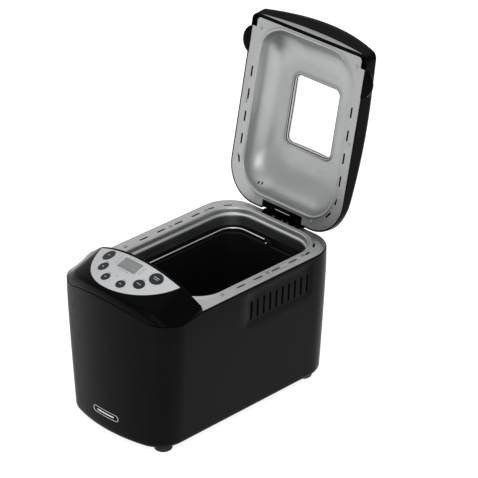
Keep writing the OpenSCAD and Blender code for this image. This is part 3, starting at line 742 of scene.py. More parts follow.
def opening(grow):
    return grown(opening_half, opening_front, opening_rear, 46, grow, nx=14, ny=18, nc=16)


def make_deck():
    edge = 2.6
    outline = filleted([
        (-half_w + edge, seam_y - 4, 0.5), (half_w - edge, seam_y - 4, 0.5),
        (half_w - edge, rear_y - edge, TOP_R_REAR - edge), (-half_w + edge, rear_y - edge, TOP_R_REAR - edge),
    ], 24)
    build = Build()
    build.sheet(outline, [opening(8.9), *rim_slots()], 9, lambda p: lift(p, deck_z))
    down = [outline * (1 + g / half_w) for g in (0, 0.35, 0.5)]
    build.strip([lift(o, deck_z - d) for o, d in zip(down, (0, 0.25, 1.3))])
    # Outer bead, ridge, upright wall and rolled lower edge of the opening
    lip = [
        (8.9, 0), (8.3, 0.25), (7.6, 0.6), (6.9, 0.65), (6.2, 0.35), (5.6, 0.08), (4.8, 0.0), (4.1, 0.1),
        (3.4, 0.5), (2.8, 0.7), (2.1, 0.5), (1.5, -0.1), (1.1, -1.2), (0.8, -3.0), (0.5, -6.0), (0.3, -8.0),
        (-0.2, -8.9), (-1.0, -9.4), (-1.8, -9.9), (-2.2, -10.8), (-2.2, -12.4),
    ]
    build.strip([lift(opening(g), deck_z + z) for g, z in lip])
    # The deck wears the lighter copy of the silver paint, which is painted light
    build.make("deck_skin", "body", deck_silver_painted_light, ["deck_plate"], "silver_paint", sharp=45, thick=0.8,
               facing=(0, 0, 1))


def make_chamber():
    """Dark steel box below the opening, with a flange under the deck's lip and two pan seats."""
    low, high = chamber_low, chamber_high
    floor = low[2]
    top = deck_z - 12

    def ring(inset, z, r=43):
        return lift(rounded(low[0] + inset, high[0] - inset, low[1] + inset, high[1] - inset, [r - inset] * 4,
                            nx=12, ny=16, nc=16), z)

    profile = [
        (-0.8, top - 0.6), (-0.8, top), (-0.4, top + 0.2), (0.4, top), (0.8, top - 0.8), (0.8, top - 12),
        (1.6, top - 14), (1.7, top - 16), (1.0, top - 18), (0.8, top - 20), (0.8, floor + 12),
        (1.4, floor + 6), (3.6, floor + 2.6), (7, floor + 1.2), (12, floor + 1),
    ]
    outer = [(12, floor), (5, floor), (1.5, floor + 1.5), (0, floor + 5), (0, top - 1.4), (-0.8, top - 1.4)]
    build = Build()
    rings = [ring(i, z) for i, z in profile]
    build.strip(rings)
    build.strip([ring(i, z) for i, z in outer] + [rings[0]])
    holes = [circle(0, y, 10.2) for y in SHAFT_Y.values()]
    for inner_ring, z in ((ring(12, floor + 1), floor + 1), (ring(12, floor), floor)):
        build.sheet(inner_ring[:, :2], holes, 12, lambda p, z=z: lift(p, z))
    for hole in holes:
        build.strip([lift(hole, floor), lift(hole, floor + 1)])
    seat_top = pan_low[2] - 0.1
    for sy in (-1, 1):
        block(build, (-38, mid_y + sy * 92 - 3, floor), (38, mid_y + sy * 92 + 3, seat_top), 0.8)
    build.make("chamber_skin", "body", chamber_steel, ["oven_chamber"], "chamber_steel", sharp=45)


make_deck()
make_chamber()


# ------------------------------------------------------------------ control housing

# Points along the housing's outline: bow, front corner, side, rear corner and back wall
N_BOW, N_CORNER, N_SIDE, N_ROUND, N_BACK = 56, 16, 8, 7, 64
SHOULDER_DROP = 5.5


def sag(x):
    """Drop of the crowned panel at x, measured square to the panel."""
    return CREST_R - np.sqrt(CREST_R ** 2 - x * x)


def crown(x, y):
    """Height of the crowned panel over the plan point x, y."""
    return crest_z + (y - crest_y) * math.tan(tilt) - sag(x) / math.cos(tilt)


def cover(x, y):
    """Height of the housing's top, whose shoulders fall away beside the fascia."""
    return crown(x, y) - SHOULDER_DROP * smooth(np.clip((np.abs(x) - SHOULDER_X) / 32, 0, 1))


def covered(flat, drop=0.0):
    """Plan points put on the housing's top, or that far under it."""
    return lift(flat, cover(flat[:, 0], flat[:, 1]) - drop)


def panel(points, height=0.0):
    """Puts (x, distance in front of the crest) points on the panel, raised by height."""
    x, v = points[:, 0], -points[:, 1]
    w = height - sag(x)
    c, s = math.cos(tilt), math.sin(tilt)
    return np.stack([x, crest_y + v * c - w * s, crest_z + v * s + w * c], 1)


def housing_outline(inset, r_back=3.5):
    """Closed outline of the housing at deck level, and each point's share of the back wall's lean."""
    half, front = half_w - inset, front_y + inset
    r = TOP_R_FRONT - inset
    bow_y, cx, cy, swing = front_corner(half, front, r)
    back = seam_y - 1 - inset
    right = np.vstack([
        arc((cx, cy), r, -90 + swing, 0, N_CORNER),
        line((half, cy), (half, back - r_back), N_SIDE),
        arc((half - r_back, back - r_back), r_back, 0, 90, N_ROUND),
    ])
    points = np.vstack([
        arc((0, bow_y), FRONT_BOW, -90 - swing, -90 + swing, N_BOW),
        right,
        line((half - r_back, back), (r_back - half, back), N_BACK),
        right[::-1] * (-1, 1),
    ])
    right_weight = np.concatenate([np.zeros(N_CORNER), np.linspace(0, 1, N_SIDE) ** 2, np.ones(N_ROUND)])
    weight = np.concatenate([np.zeros(N_BOW), right_weight, np.ones(N_BACK), right_weight[::-1]])
    return points, weight


def leaning(points, weight, z, lean=LEAN):
    """Outline at height z, moved forward with height as far as each point's weight says."""
    ring = lift(points, z)
    ring[:, 1] -= lean * (ring[:, 2] - deck_z) * weight
    return ring


LENS_HALF_W, LENS_HALF_LEN = 89.5, 106
FASCIA_GAP = 5.4
lens_y = seam_y + 20


def lens_outline(n_front, n_back, shrink=0.0):
    """The fascia's plan outline: a half-oval front, then the straight leaning back."""
    out = []
    back_base = seam_y - FASCIA_GAP - shrink
    a = np.linspace(170, 370, 801)
    x = (LENS_HALF_W - shrink) * np.cos(np.radians(a))
    y = lens_y + (LENS_HALF_LEN - shrink) * np.sin(np.radians(a))
    under = y < back_base - LEAN * (crown(x, y) - deck_z)
    front = np.stack([x, y], 1)[under]
    xs = np.linspace(front[-1, 0], front[0, 0], 400)
    y_back = np.full(len(xs), back_base)
    for _ in range(12):
        y_back = back_base - LEAN * (crown(xs, y_back) - deck_z)
    back = np.stack([xs, y_back], 1)
    for piece, count in ((front, n_front), (back, n_back)):
        steps = np.concatenate([[0], np.cumsum(np.linalg.norm(np.diff(piece, axis=0), axis=1))])
        at = np.linspace(0, steps[-1], count, endpoint=False)
        out.append(np.stack([np.interp(at, steps, piece[:, k]) for k in (0, 1)], 1))
    return np.vstack(out)


def housing_seat(grow):
    """The fascia's seat, its points rolled to follow the housing outline's order."""
    start = N_BOW + N_CORNER + N_SIDE + N_ROUND
    n_front = start + N_ROUND + N_SIDE + N_CORNER
    seat = lens_outline(n_front, N_BACK, -grow)
    lead = n_front - start
    return np.vstack([seat[lead:n_front], seat[n_front:], seat[:lead]])


def make_housing():
    """Crowned black cover: inner ledge, leaning wall, rounded edge, top, and the fascia's sunken seat."""
    outer, weight = housing_outline(0)
    foot = np.where(weight > 0.99, deck_z + 0.15, parting(outer) + 1.1 + 0.3 * weight)
    back = np.clip(weight * 1.5, 0, 1)
    side_share = np.clip((np.abs(outer[:, 0]) - 40) / 70, 0, 1)
    turn = 5.5 + 12 * side_share ** 1.5
    turn = turn + (1.2 - turn) * back
    top_of_wall = leaning(outer, weight, covered(outer, 5)[:, 2])
    top_z = covered(top_of_wall[:, :2])[:, 2]
    room = top_z - foot - 0.6
    drop = np.clip(np.minimum(5.5 + 9 * side_share, room) * (1 - back) + 1.2 * back, 0.5, None)
    wall_top = np.maximum(top_z - drop, foot + 0.6)
    inner, w_in = housing_outline(1.6)
    ledge, w_ledge = housing_outline(0.5)
    inside_top = foot + np.clip(covered(inner)[:, 2] - foot - 1.5, 0.2, 5)
    rings = [leaning(inner, w_in, inside_top), leaning(inner, w_in, foot), leaning(ledge, w_ledge, foot)]
    for t in (0.02, 0.25, 0.5, 0.75, 1.0):
        rings.append(leaning(outer, weight, foot + 0.5 + (wall_top - foot - 0.5) * t))
    wall = leaning(outer, weight, wall_top)[:, :2]
    for a in np.radians([15, 30, 45, 60, 75, 90]):
        flat = wall - outward(outer) * (turn * (1 - np.cos(a)))[:, None]
        below = drop * (1 - math.sin(a))
        flat[:, 1] -= LEAN * (covered(flat, below)[:, 2] - wall_top) * weight
        rings.append(covered(flat, below))
    edge = rings[-1][:, :2]
    seat = housing_seat(0.35)
    rings += [covered(edge * (1 - t) + seat * t) for t in (0.2, 0.4, 0.6, 0.8, 0.93)]
    rings += [covered(seat, 0.12), covered(seat, 1.7)]
    middle = seat.mean(0)
    rings += [covered(seat * (1 - t) + middle * t, 1.8) for t in (0.04, 0.4, 0.8)]
    build = Build().strip(rings).cap(rings[-1])
    build.make("control_housing_skin", "body", shell_black, ["control_housing"], "black_plastic", sharp=42)


KEY_RISE, KEY_HOLLOW, KEY_GAP = 0.7, 0.28, 0.35


def key_places():
    """Centre, distance in front of the crest and radius of each key, from the frame."""
    keys = []
    for name in ("start", "menu", "size", "colour", "time_up", "time_down"):
        low, high = span(name + "_button")
        x, r = middle_of(name + "_button")[0], (high[0] - low[0]) / 2
        level = KEY_RISE - sag(np.array(abs(x)))
        y = low[1] + r * math.cos(tilt)
        distance = (crest_y - level * math.sin(tilt) - y) / math.cos(tilt)
        keys.append((name, x, float(distance), r))
    return keys


KEYS = key_places()
DISPLAY = (0.0, 21.4, 37.6, 21.6)


def display_outline(grow):
    x, d, w, l = DISPLAY
    half_x, half_d, r = w / 2 + grow, l / 2 + grow, 1.2 + max(0, grow)
    return rounded(x - half_x, x + half_x, d - half_d, d + half_d, [r] * 4, nx=10, ny=6, nc=4)


def dash(x, d, length, half_h, r, nx=6):
    """Outline of a printed dash with its middle at x, d on the panel."""
    return rounded(x - length / 2, x + length / 2, d - half_h, d + half_h, [r] * 4, nx=nx, ny=1, nc=2)


def panel_coords(plan_points):
    """Plan points as (x, distance in front of the crest) on the panel."""
    x, y = plan_points[:, 0], plan_points[:, 1]
    z = crown(x, y)
    v = (y - crest_y) * math.cos(tilt) + (z - crest_z) * math.sin(tilt)
    return np.stack([x, -v], 1)


def make_fascia():
    """Silver lens plate with a turned edge, six key holes and a display window."""
    def outline(shrink):
        return panel_coords(lens_outline(150, 90, shrink))[::-1]

    def turned_edge(shape, height):
        return [panel(shape(g), h) for g, h in ((bevel, 0.12), (0.1, height), (0, -0.3), (0, -1.5))]

    bevel = 0.35
    holes = [lambda g, x=x, d=d, r=r: circle(x, d, r + KEY_GAP + g, 40) for _, x, d, r in KEYS]
    holes.append(display_outline)
    build = Build()
    build.sheet(outline(bevel), [h(bevel) for h in holes], 3.2, lambda p: panel(p, 0.12))
    build.strip(turned_edge(outline, 0.02))
    for h in holes:
        build.strip(turned_edge(h, 0.0))
    build.make("fascia_plate", "body", fascia_silver, ["control_fascia"], "fascia_silver", sharp=50)


def make_display():
    build = Build()
    frame_top = [(0.2, -0.9), (-0.05, -0.5), (-0.3, -0.38), (-1.0, -0.42), (-1.3, -0.62)]
    build.strip([panel(display_outline(g), h) for g, h in frame_top])
    build.sheet(display_outline(-1.3), [], 3, lambda p: panel(p, -0.62))
    build.make("display_lens", "body", lens_grey, ["display_window"], "lens_grey", sharp=35)
    digits = Build()
    x, d, w, l = DISPLAY
    for row in (-1, 1):
        shape = dash(x, d + row * (l / 2 - 3.4), w - 6, 0.25, 0.2, nx=8)
        digits.sheet(shape, [], 3, lambda p: panel(p, -0.55))
    digits.make("display_lines", "body", mark_dark, slot="lens_grey")


def key_top(x, d, r):
    """Function that puts plan points on a key's slightly hollow top."""
    def place(p, extra=0.0):
        rho = np.linalg.norm(p - (x, d), axis=1) / r
        return panel(p, KEY_RISE - KEY_HOLLOW * (1 - np.minimum(rho, 1) ** 2) + extra)
    return place


def make_keys():
    """Round caps with a turned edge, each on a thin stem, and the marks printed on them."""
    side = ((0.9, 0.0), (0.45, 0.1), (0.15, 0.32), (0, 0.7), (0, 1.8), (0, 8.4))
    for name, x, d, r in KEYS:
        body = name + "_button"
        place = key_top(x, d, r)
        rings = [place(circle(x, d, r * s, 40)) for s in (0.12, 0.3, 0.5, 0.7, 0.85)]
        rings += [place(circle(x, d, r - g, 40), -h) for g, h in side]
        build = Build().strip(rings).cap(rings[0]).cap(rings[-1])
        foot = panel(np.array([[x, d]]))[0, 2] - span(body)[0][2]
        stem = (8, foot / math.cos(tilt) - 1.5)
        prism(build, circle(x, d, 2.5, 24), *stem, lambda p: panel(p[:, :2]) + down_the_axis(p[:, 2]))
        build.make(body + "_cap", body, key_grey, [body], "key_grey", sharp=40)
        marks = Build()
        for shape in key_marks(name, x, d):
            marks.sheet(shape, [], 2.5, lambda p: place(p, 0.04))
        marks.make(body + "_mark", body, mark_light, slot="key_grey")


def down_the_axis(depth):
    """Offsets to that depth along the keys' axis."""
    return np.stack([depth * 0, depth * math.sin(tilt), -depth * math.cos(tilt)], 1)


def key_marks(name, x, d):
    """Plain dashes, or a triangle on the two time keys."""
    if name in ("time_up", "time_down"):
        way = 1 if name == "time_up" else -1
        return [filleted([(x - 2 * way, d + 1.3 * way, 0.3), (x + 2 * way, d + 1.3 * way, 0.3),
                          (x, d - 1.9 * way, 0.3)], 3)]
    rows = {"start": [(-1.6, 10), (1.6, 8)], "menu": [(0, 8)], "size": [(0, 4.5)], "colour": [(0, 4.5)]}[name]
    return [dash(x, d + dy, w, 0.55, 0.3) for dy, w in rows]


def make_legends():
    """Small printed dashes where such a panel has its words."""
    build = Build()
    x, d, w, l = DISPLAY
    dashes = [(x + k * 7.5, d - l / 2 - 3.2, 5.2) for k in (-1.5, -0.5, 0.5, 1.5)]
    dashes += [(x - w / 2 - 6.5, d - 7 + 4.2 * k, 6) for k in range(4)]
    dashes += [(x + w / 2 + 6, d - 7 + 4.2 * k, 5.4) for k in range(4)]
    dashes += [(x + k * 8, d + l / 2 + 3, 5.5) for k in (-1, 0, 1)]
    for name, kx, kd, r in KEYS:
        if name != "start":
            dashes.append((kx + math.copysign(0.5, kx), kd - r - 2.2, 6.5))
    dashes.append((0, 49, 5))
    for cx, cd, length in dashes:
        build.sheet(dash(cx, cd, length, 0.35, 0.15), [], 2.5, lambda p: panel(p, 0.15))
    build.make("fascia_legends", "body", mark_dark, slot="fascia_silver")


make_housing()
make_fascia()
make_display()
make_keys()
make_legends()


# ------------------------------------------------------------------ lid

LINER_Z = deck_z + 2
DISH_HALF_W, DISH_FRONT, DISH_REAR, DISH_DEPTH = 95, hinge_y - 278.9, hinge_y - 17.5, 37.4
ROOF_HALF_W, ROOF_FRONT, ROOF_REAR = 54, hinge_y - 232, hinge_y - 72
lid_rim_z = deck_z + 1.6
lid_rear = hinge_y + 4.4
window_y = hinge_y - 154.6
WINDOW = (93.6, 110.0, 10.0)
PANE_DROP = 2.1
SIDE_PEAK = 0.42
LID_LEAN = 0.32
LID_R_REAR = 59
LID_COUNTS = {"nx": 40, "ny": 44, "nc": 16}


def lid_crown(x, y):
    """Height of the shut lid's outside over the plan point x, y."""
    u = np.clip((y - crest_y) / (lid_rear - crest_y), 0, 1)
    ridge = 45 + 5.8 * 4 * u * (1 - u)
    off = (u - SIDE_PEAK) / np.where(u < SIDE_PEAK, SIDE_PEAK, 1 - SIDE_PEAK)
    side = 30 - np.where(u < SIDE_PEAK, 11, 22) * off * off
    return deck_z + ridge - (ridge - side) * (x / half_w) ** 2


def crowned(flat, drop=0.0):
    """Plan points put on the shut lid's outside, or that far under it."""
    return lift(flat, lid_crown(flat[:, 0], flat[:, 1]) - drop)


def lid_outline(inset):
    return rounded(-half_w + inset, half_w - inset, seam_y + inset, lid_rear - inset,
                   [9 - min(inset, 6)] * 2 + [LID_R_REAR - inset] * 2, **LID_COUNTS)


def lid_front_weight():
    """1 on the lid's front edge and its corners, falling to 0 along the sides."""
    nx, ny, nc = LID_COUNTS["nx"], LID_COUNTS["ny"], LID_COUNTS["nc"]
    fall = np.clip(1 - np.arange(ny) / 10, 0, 1) ** 1.5
    return np.concatenate([np.ones(nx + nc), fall, np.zeros(nc + nx + nc), fall[::-1], np.ones(nc)])


def window_outline(grow):
    w, l, r = WINDOW
    return grown(w / 2, window_y - l / 2, window_y + l / 2, r, grow, **LID_COUNTS)


def make_lid_shell():
    """Crowned black shell: rim, leaning front wall, rounded edge, crown with window hole, and inside."""
    weight = lid_front_weight()
    outer = lid_outline(0)
    normal = outward(outer)
    at_rear = np.clip((outer[:, 1] - (lid_rear - LID_R_REAR)) / LID_R_REAR, 0, 1)
    edge_r = 7 - 4.4 * weight + 5 * at_rear

    def leaned(flat, z):
        return leaning(flat, weight, z, LID_LEAN)

    z_wall = np.full(len(outer), lid_rim_z)
    for _ in range(4):
        at = leaned(outer, z_wall)
        z_wall = np.maximum(lid_crown(at[:, 0], at[:, 1]) - edge_r, lid_rim_z + 1.2)
    rings = [leaned(lid_outline(2.0), lid_rim_z), leaned(lid_outline(0.6), lid_rim_z)]
    wall_low = lid_rim_z + 0.6
    rings += [leaned(outer, wall_low + (z_wall - wall_low) * t) for t in (0, 0.2, 0.4, 0.6, 0.8, 1)]
    top_of_wall = leaned(outer, z_wall)[:, :2]
    for a in np.radians([15, 30, 45, 60, 75, 90]):
        flat = top_of_wall - normal * (edge_r * (1 - math.cos(a)))[:, None]
        rings.append(crowned(flat, edge_r * (1 - math.sin(a))))
    edge = rings[-1][:, :2]
    hole = window_outline(0)
    spread = (0.08, 0.18, 0.3, 0.42, 0.55, 0.7, 0.85, 0.95)
    rings += [crowned(edge * (1 - t) + hole * t, 0) for t in spread]
    rings += [crowned(window_outline(0.6), 0), crowned(hole, 0.5), crowned(hole, 2)]
    rings += [crowned(edge * (1 - t) + hole * t, 2) for t in (0.85, 0.55, 0.3, 0.08)]
    rings.append(leaned(lid_outline(2.0), np.maximum(z_wall - 3, lid_rim_z + 0.6)))
    notch = Build()
    block(notch, (-43, hinge_y - 0.5, deck_z - 4), (43, hinge_y + 20, deck_z + 17), 1.0)
    Build().strip(rings, closed=True).make(
        "lid_skin", "lid", shell_black, ["lid_shell"], "black_plastic", sharp=40, place=opened,
        cutters=[notch.cutter(opened)])


def make_finger_tabs():
    """Half-round tabs that stand out of the rim on both sides."""
    r, thick = 23.4, 8
    profile = [
        (2.6, 0), (1.0, 0.25), (0.2, 1.0), (0, 2.2), (0, thick - 2.8), (0.7, thick - 1.2),
        (2.2, thick - 0.25), (4, thick),
    ]
    for side in (-1, 1):
        cx, cy = side * (half_w - 9.4), seam_y + 41.5
        rings = []
        for inset, z in profile:
            ring = lift(circle(cx, cy, r - inset, 72), lid_rim_z + z)
            ring[:, 0] = side * np.maximum(side * ring[:, 0], half_w - 3)
            rings.append(ring)
        tab = Build().strip(rings).cap(rings[0]).cap(rings[-1])
        name = "finger_tab_right" if side > 0 else "finger_tab_left"
        tab.make(name, "lid", shell_black, slot="black_plastic", sharp=45, place=opened)


def make_front_strip():
    """Thin silver crescent on the lid's leaning front wall."""
    x = np.linspace(-104, 104, 53)
    low = deck_z + 5.4 + 0 * x
    high = deck_z + 14.6 - 0.00085 * x * x
    rows = []
    for t, out in ((0, 0), (0.04, 0.35), (0.5, 0.4), (0.96, 0.35), (1, 0)):
        z = low + (np.maximum(high, low + 0.1) - low) * t
        rows.append(np.stack([x, seam_y - LID_LEAN * (z - deck_z) - out, z], 1))
    strip = Build().grid(rows)
    strip.make("lid_front_strip", "lid", silver, slot="silver_paint", sharp=50, place=opened)


def dish_rim(grow):
    return grown(DISH_HALF_W, DISH_FRONT, DISH_REAR, 47, grow, **LID_COUNTS)


def dish_roof():
    return grown(ROOF_HALF_W, ROOF_FRONT, ROOF_REAR, 36, **LID_COUNTS)


def dish_slits():
    """Cutter for two short slits side by side in the dish's rear left corner."""
    along, beside = np.array([0.23, 0.68, -0.70]), np.array([0.86, -0.02, 0.50])
    through = np.cross(along, beside)
    across = np.cross(through, along)
    cut = Build()
    for side in (-1, 1):
        middle = np.array([-65.8 + 2.4 * side, hinge_y - 26.5, deck_z + 17.2 + 1.4 * side])
        prism(cut, stadium(0, 0, 0, 5.6, 2.4), -5, 5,
              lambda p: middle + p[:, :1] * along + p[:, 1:2] * across + p[:, 2:] * through)
    return cut.cutter(opened)


def make_liner():
    """Silver inner skin: slotted flange with notches, bead, soft dish and roof round the window.

    The flange has one slot fewer than the deck, by the left rear corner.
    """
    side, front, rear = half_w - 2.3, seam_y + 2.8, hinge_y + 1.9
    notch_x, notch_y = 108.5, seam_y + 19
    slit_x, slit_y = 42.4, hinge_y - 10.2
    flange = filleted([
        (-notch_x, front, 6), (notch_x, front, 6), (notch_x, notch_y, 1.5), (side, notch_y, 1.2),
        (side, rear, LID_R_REAR - 2), (slit_x, rear, 1), (slit_x, slit_y, 1.5), (-slit_x, slit_y, 1.5),
        (-slit_x, rear, 1), (-side, rear, LID_R_REAR - 2), (-side, notch_y, 1.2), (-notch_x, notch_y, 1.5),
    ], 14)
    build = Build()
    slots = rim_slots()
    del slots[5]
    build.sheet(flange, [dish_rim(6), *slots], 9, lambda p: lift(p, LINER_Z))
    bead = [
        (6, 0), (5.2, -0.1), (4.4, -0.4), (3.6, -0.62), (2.8, -0.66), (2.0, -0.45), (1.2, 0.05), (0.5, 0.8),
        (0, 1.8),
    ]
    build.strip([lift(dish_rim(g), LINER_Z + z) for g, z in bead])
    rim_line, roof_line = dish_rim(0), dish_roof()
    bowl = []
    for a in np.radians(np.linspace(0, 90, 15)):
        flat = rim_line + (roof_line - rim_line) * (1 - math.cos(a))
        bowl.append(lift(flat, LINER_Z + 1.8 + (DISH_DEPTH - 1.8) * math.sin(a)))
    lip = window_outline(5.2)
    bowl += [lift(roof_line * (1 - t) + lip * t, LINER_Z + DISH_DEPTH) for t in (0.25, 0.5, 0.75, 1)]
    for g, rise in ((4.4, 0.25), (3.4, 0.75), (2.6, 0.9), (1.8, 0.85), (1.3, 0.6), (1.1, 0.2)):
        bowl.append(lift(window_outline(g), LINER_Z + DISH_DEPTH - rise))
    build.strip(bowl)
    down = opened(np.array([[0, 0, -1.0]])) - opened(np.array([[0, 0, 0.0]]))
    build.make("lid_liner_skin", "lid", silver, ["lid_liner"], "silver_paint", sharp=45, thick=0.8,
               place=opened, facing=down[0], cutters=[dish_slits()])


def make_window():
    """Clear crowned pane, thin dark gasket at the liner's roof, pale throat between them, and outer trim."""
    build = Build()
    edge = [(4.6, 2.3), (4.9, 2.5), (4.9, 3.6), (4.6, 3.8)]
    build.strip([crowned(window_outline(g), d) for g, d in edge])
    for drop in (PANE_DROP + 0.2, PANE_DROP + 1.7):
        build.sheet(window_outline(4.6), [], 9, lambda p, drop=drop: crowned(p, drop))
    build.make("lid_pane", "lid", clear, ["lid_window"], "clear_pane", sharp=50, place=opened)
    roof_z = LINER_Z + DISH_DEPTH
    seal = [(1.5, -0.3), (1.2, -0.85), (0.8, -0.95), (0.45, -0.75), (0.4, -0.2), (0.4, 0.9), (1.5, 0.9)]
    rings = [lift(window_outline(g), roof_z + z) for g, z in seal]
    Build().strip(rings, closed=True).make(
        "window_seal", "lid", gasket, ["window_gasket"], "gasket_rubber", sharp=50, place=opened)
    near, far = window_outline(0.3), window_outline(2.4)
    throat = [lift(near, roof_z + 1), crowned(near, 4), crowned(far, 4), lift(far, roof_z + 1)]
    Build().strip(throat, closed=True).make(
        "window_throat", "lid", throat_white, slot="gasket_rubber", sharp=50, place=opened)
    trim = [
        (-0.4, 2), (-0.4, 0.1), (-0.1, -0.3), (0.9, -0.35), (1.5, -0.1), (1.5, 0.4), (-0.05, 0.6), (-0.05, 2),
    ]
    Build().strip([crowned(window_outline(g), d) for g, d in trim], closed=True).make(
        "window_trim", "lid", throat_white, slot="gasket_rubber", sharp=50, place=opened)


def make_hinge():
    """Lid's hinge block with rounded knuckles and a thin bright rod; body's ledge and stud under them."""
    build = Build()
    front = hinge_y - 9.8
    block(build, (-42, front, LINER_Z), (42, front + 3.6, LINER_Z + 10.4), 1.0)
    for x0, x1 in ((-42, -34.4), (-25.6, 25.6), (34.4, 42)):
        block(build, (x0, front + 0.4, LINER_Z + 0.6), (x1, hinge_y + 2.2, LINER_Z + 10.4), 1.2)
    build.make("hinge_block_skin", "lid", shell_black, ["hinge_block"], "black_plastic", sharp=45,
               place=opened)
    rod_y, rod_z = hinge_y - 3.2, LINER_Z + 0.1
    rod = Build().tube([(x, rod_y, rod_z) for x in np.linspace(-14, 16, 8)], 0.6)
    rod.make("hinge_rod", "lid", bright_wire, slot="bright_wire", sharp=50, place=opened)
    ledge = Build()
    block(ledge, (-44, hinge_y - 4, deck_z - 0.2), (44, hinge_y + 3.9, deck_z + 0.9), 0.3)
    block(ledge, (-41, hinge_y + 2.6, deck_z + 0.4), (41, hinge_y + 3.9, deck_z + 5), 0.3)
    ledge.make("hinge_ledge", "body", shell_black, slot="black_plastic", sharp=45)
    stud = Build().lathe([(0, 1.1), (0.7, 1.0), (1.2, 0.6), (1.4, 0), (1.4, -1)], 24,
                         lambda p: p + (4, hinge_y - 8.6, deck_z + 0.8))
    stud.make("hinge_stud", "body", bronze, slot="bearing_bronze", sharp=50)


make_lid_shell()
make_finger_tabs()
make_front_strip()
make_liner()
make_window()
make_hinge()


# ------------------------------------------------------------------ pan

PAN_HALF_W, PAN_HALF_L = (pan_high[0] - pan_low[0]) / 2, (pan_high[1] - pan_low[1]) / 2
wire_z = (wire_low[2] + wire_high[2]) / 2
wire_r = (wire_high[2] - wire_low[2]) / 2
pan_rim = wire_z - 4
pan_floor = pan_low[2]


def plate(build, outline, holes, z0, z1, step, place):
    """Flat plate of that outline with holes through it, put in space by place(points)."""
    for z in (z0, z1):
        build.sheet(outline, holes, step, lambda p, z=z: place(lift(p, z)))
    for loop in (outline, *holes):
        build.strip([place(lift(loop, z0)), place(lift(loop, z1))])


def pan_ring(inset, z):
    """Ring of the pan's wall, which narrows towards the floor."""
    share = np.clip((pan_rim - z) / (pan_rim - pan_floor), 0, 1)
    g = 2 + 5 * share + inset
    return lift(rounded(-PAN_HALF_W + g, PAN_HALF_W - g, mid_y - PAN_HALF_L + g, mid_y + PAN_HALF_L - g,
                        [32 - 4 * share - inset] * 4, nx=12, ny=16, nc=16), z)


def make_pan():
    """Coated pan with a rolled rim, round floor edges, two shaft holes and two ears for the wire."""
    foot = [(12, 0), (6, 0), (2.6, 0.7), (0.7, 2.4), (0, 5.5)]
    rim = [
        (0, -4.2), (-0.7, -4), (-1.6, -3.3), (-2, -2.2), (-1.9, -1), (-1.2, -0.2), (-0.2, 0), (0.7, -0.4),
        (1.3, -1.3), (1.5, -3),
    ]
    inner = [(1.5, 12), (1.9, 8), (3.3, 4.6), (6, 2.4), (9, 1.6), (12, 1.5)]
    rings = [pan_ring(i, pan_floor + z) for i, z in foot]
    rings += [pan_ring(0, pan_floor + (pan_rim - 4.2 - pan_floor) * t) for t in (0.3, 0.6)]
    rings += [pan_ring(i, pan_rim + z) for i, z in rim]
    rings += [pan_ring(1.5, pan_floor + (pan_rim - pan_floor) * t) for t in (0.7, 0.4)]
    rings += [pan_ring(i, pan_floor + z) for i, z in inner]
    build = Build().strip(rings)
    holes = [circle(0, y, 9.1, 32) for y in SHAFT_Y.values()]
    for ring in (rings[0], rings[-1]):
        build.sheet(ring[:, :2], holes, 12, lambda p, z=ring[0, 2]: lift(p, z))
    for hole in holes:
        build.strip([lift(hole, pan_floor), lift(hole, pan_floor + 1.5)])
    top = pan_high[2]
    ear = filleted([(-9, pan_rim - 6, 1), (9, pan_rim - 6, 1), (7.5, top, 5), (-7.5, top, 5)], 8)
    for side in (-1, 1):
        y = mid_y + side * (PAN_HALF_L - 2.2)
        wire_hole = circle(0, wire_z, wire_r + 0.12, 20)
        plate(build, ear, [wire_hole], y - 0.8, y + 0.8, 4, lambda p: p[:, [0, 2, 1]])
    build.make("bread_pan_skin", "pan", coating, ["bread_pan"], "pan_coating", sharp=50)


def make_bail():
    """Bent wire folded to the left on the rim, its ends turned in through the pan's ears."""
    hx, hy, b, hook = -wire_low[0] - wire_r, (wire_high[1] - wire_low[1]) / 2 - wire_r, 28, 2.6
    path = [line((0, -hy + 8), (0, -hy + hook), 4), arc((-hook, -hy + hook), hook, 0, -90, 8)]
    path += [line((-hook, -hy), (b - hx, -hy), 12), arc((b - hx, b - hy), b, -90, -180, 22)]
    path.append(line((-hx, b - hy), (-hx, 0), 12))
    half = np.vstack([*path, [[-hx, 0]]])
    whole = np.vstack([half, half[-2::-1] * (1, -1)])
    wire = Build().tube(lift(whole + (0, mid_y), wire_z), wire_r, 18)
    wire.make("bail_wire", "bail", bright_wire, ["bail_handle"], "bright_wire", sharp=60)


def make_paddles():
    """Kneading paddles: tapered hub with a closed round top and one curved fin that thins upwards."""
    fin_size, fin_top = 22, 32
    for end, y in SHAFT_Y.items():
        base = span(f"paddle_{end}")[0][2]
        place = lambda p, y=y, base=base: p + (0, y, base)
        hub = [
            (3.9, 12), (3.9, 0), (9.3, 0), (9.9, 0.3), (10, 1), (8.2, 18.6), (7.6, 19.6), (6.4, 20),
            (0, 20.4),
        ]
        build = Build().lathe(hub, 40, place)
        fin = np.vstack([
            line((2, 0.3), (43.7, 0.3), 12), arc((16, 4), 28, -7.6, 124, 30), line((0.4, 26.9), (2, 0.3), 8),
        ])
        middle = fin.mean(0)
        rings = []
        for shrink, depth in ((1.2, -2.2), (0.5, -2.0), (0, -1.2), (0, 1.2), (0.5, 2.0), (1.2, 2.2)):
            flat = fin + (middle - fin) * shrink / fin_size
            thin = 1 - 0.4 * flat[:, 1] / fin_top
            rings.append(place(np.column_stack([flat[:, 0], depth * thin, flat[:, 1]])))
        build.strip(rings).cap(rings[0]).cap(rings[-1])
        build.make(f"paddle_{end}_skin", f"kneader_{end}", coating, [f"paddle_{end}"], "pan_coating",
                   sharp=45)


make_pan()
make_bail()
make_paddles()


# ------------------------------------------------------------------ stage, light and camera

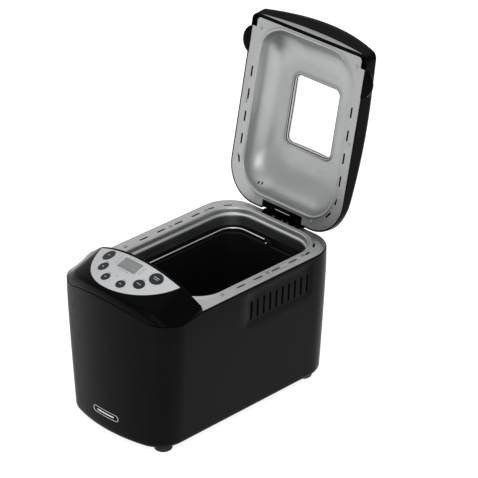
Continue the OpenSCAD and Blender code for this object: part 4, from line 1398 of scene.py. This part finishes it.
def make_stage():
    """Plain white floor that glows a little, so that it stays pale."""
    floor = Build()
    rings = [lift(circle(0, 0, r, 64), 0) for r in (1, 400, 1500, 9000)]
    floor.strip(rings).cap(rings[0])
    mesh = bpy.data.meshes.new("floor")
    mesh.from_pydata((np.array(floor.points) * MM).tolist(), [], floor.faces)
    obj = link("floor", mesh)
    white = material("floor_white", (0.5, 0.5, 0.5), 0.9, specular=0.1, vary=0.003)
    glow = white.node_tree.nodes["Principled BSDF"]
    glow.inputs["Emission Color"].default_value = (1, 1, 1, 1)
    glow.inputs["Emission Strength"].default_value = 0.85
    mesh.materials.append(white)


def area(name, place, target, size, watts):
    """Rectangular soft light at place, turned towards its target."""
    data = bpy.data.lights.new(name, "AREA")
    data.shape = "RECTANGLE"
    data.size, data.size_y = size
    data.energy = watts
    lamp = link(name, data)
    lamp.location = place
    lamp.rotation_euler = (Vector(target) - Vector(place)).to_track_quat("-Z", "Y").to_euler()


def make_light():
    scene = bpy.context.scene
    world = bpy.data.worlds.new("studio")
    world.use_nodes = True
    sky = world.node_tree.nodes["Background"]
    sky.inputs["Color"].default_value = (1, 1, 1, 1)
    sky.inputs["Strength"].default_value = 0.62
    scene.world = world
    area("front_softbox", (2.0, -2.4, 1.5), (0, 0, 0.3), (2.4, 2.0), 24)
    area("top_softbox", (-0.5, -0.4, 2.6), (0, 0, 0.2), (2.6, 2.6), 9)
    scene.view_settings.view_transform = "Standard"


def make_camera():
    """Camera at the photograph's angle: high over the right front corner, with a long lens."""
    azimuth, elevation, distance = math.radians(45.19), math.radians(28.22), 4.2
    target = Vector((0.04077, 0.00261, 0.26048))
    level = math.cos(elevation)
    back = Vector((math.sin(azimuth) * level, -math.cos(azimuth) * level, math.sin(elevation)))
    data = bpy.data.cameras.new("camera")
    data.lens = 210.8
    data.sensor_width = 36
    data.clip_start, data.clip_end = 0.1, 100
    camera = link("camera", data)
    camera.location = target + back * distance
    camera.rotation_euler = (-back).to_track_quat("-Z", "Y").to_euler()
    bpy.context.scene.camera = camera


make_stage()
make_light()
make_camera()
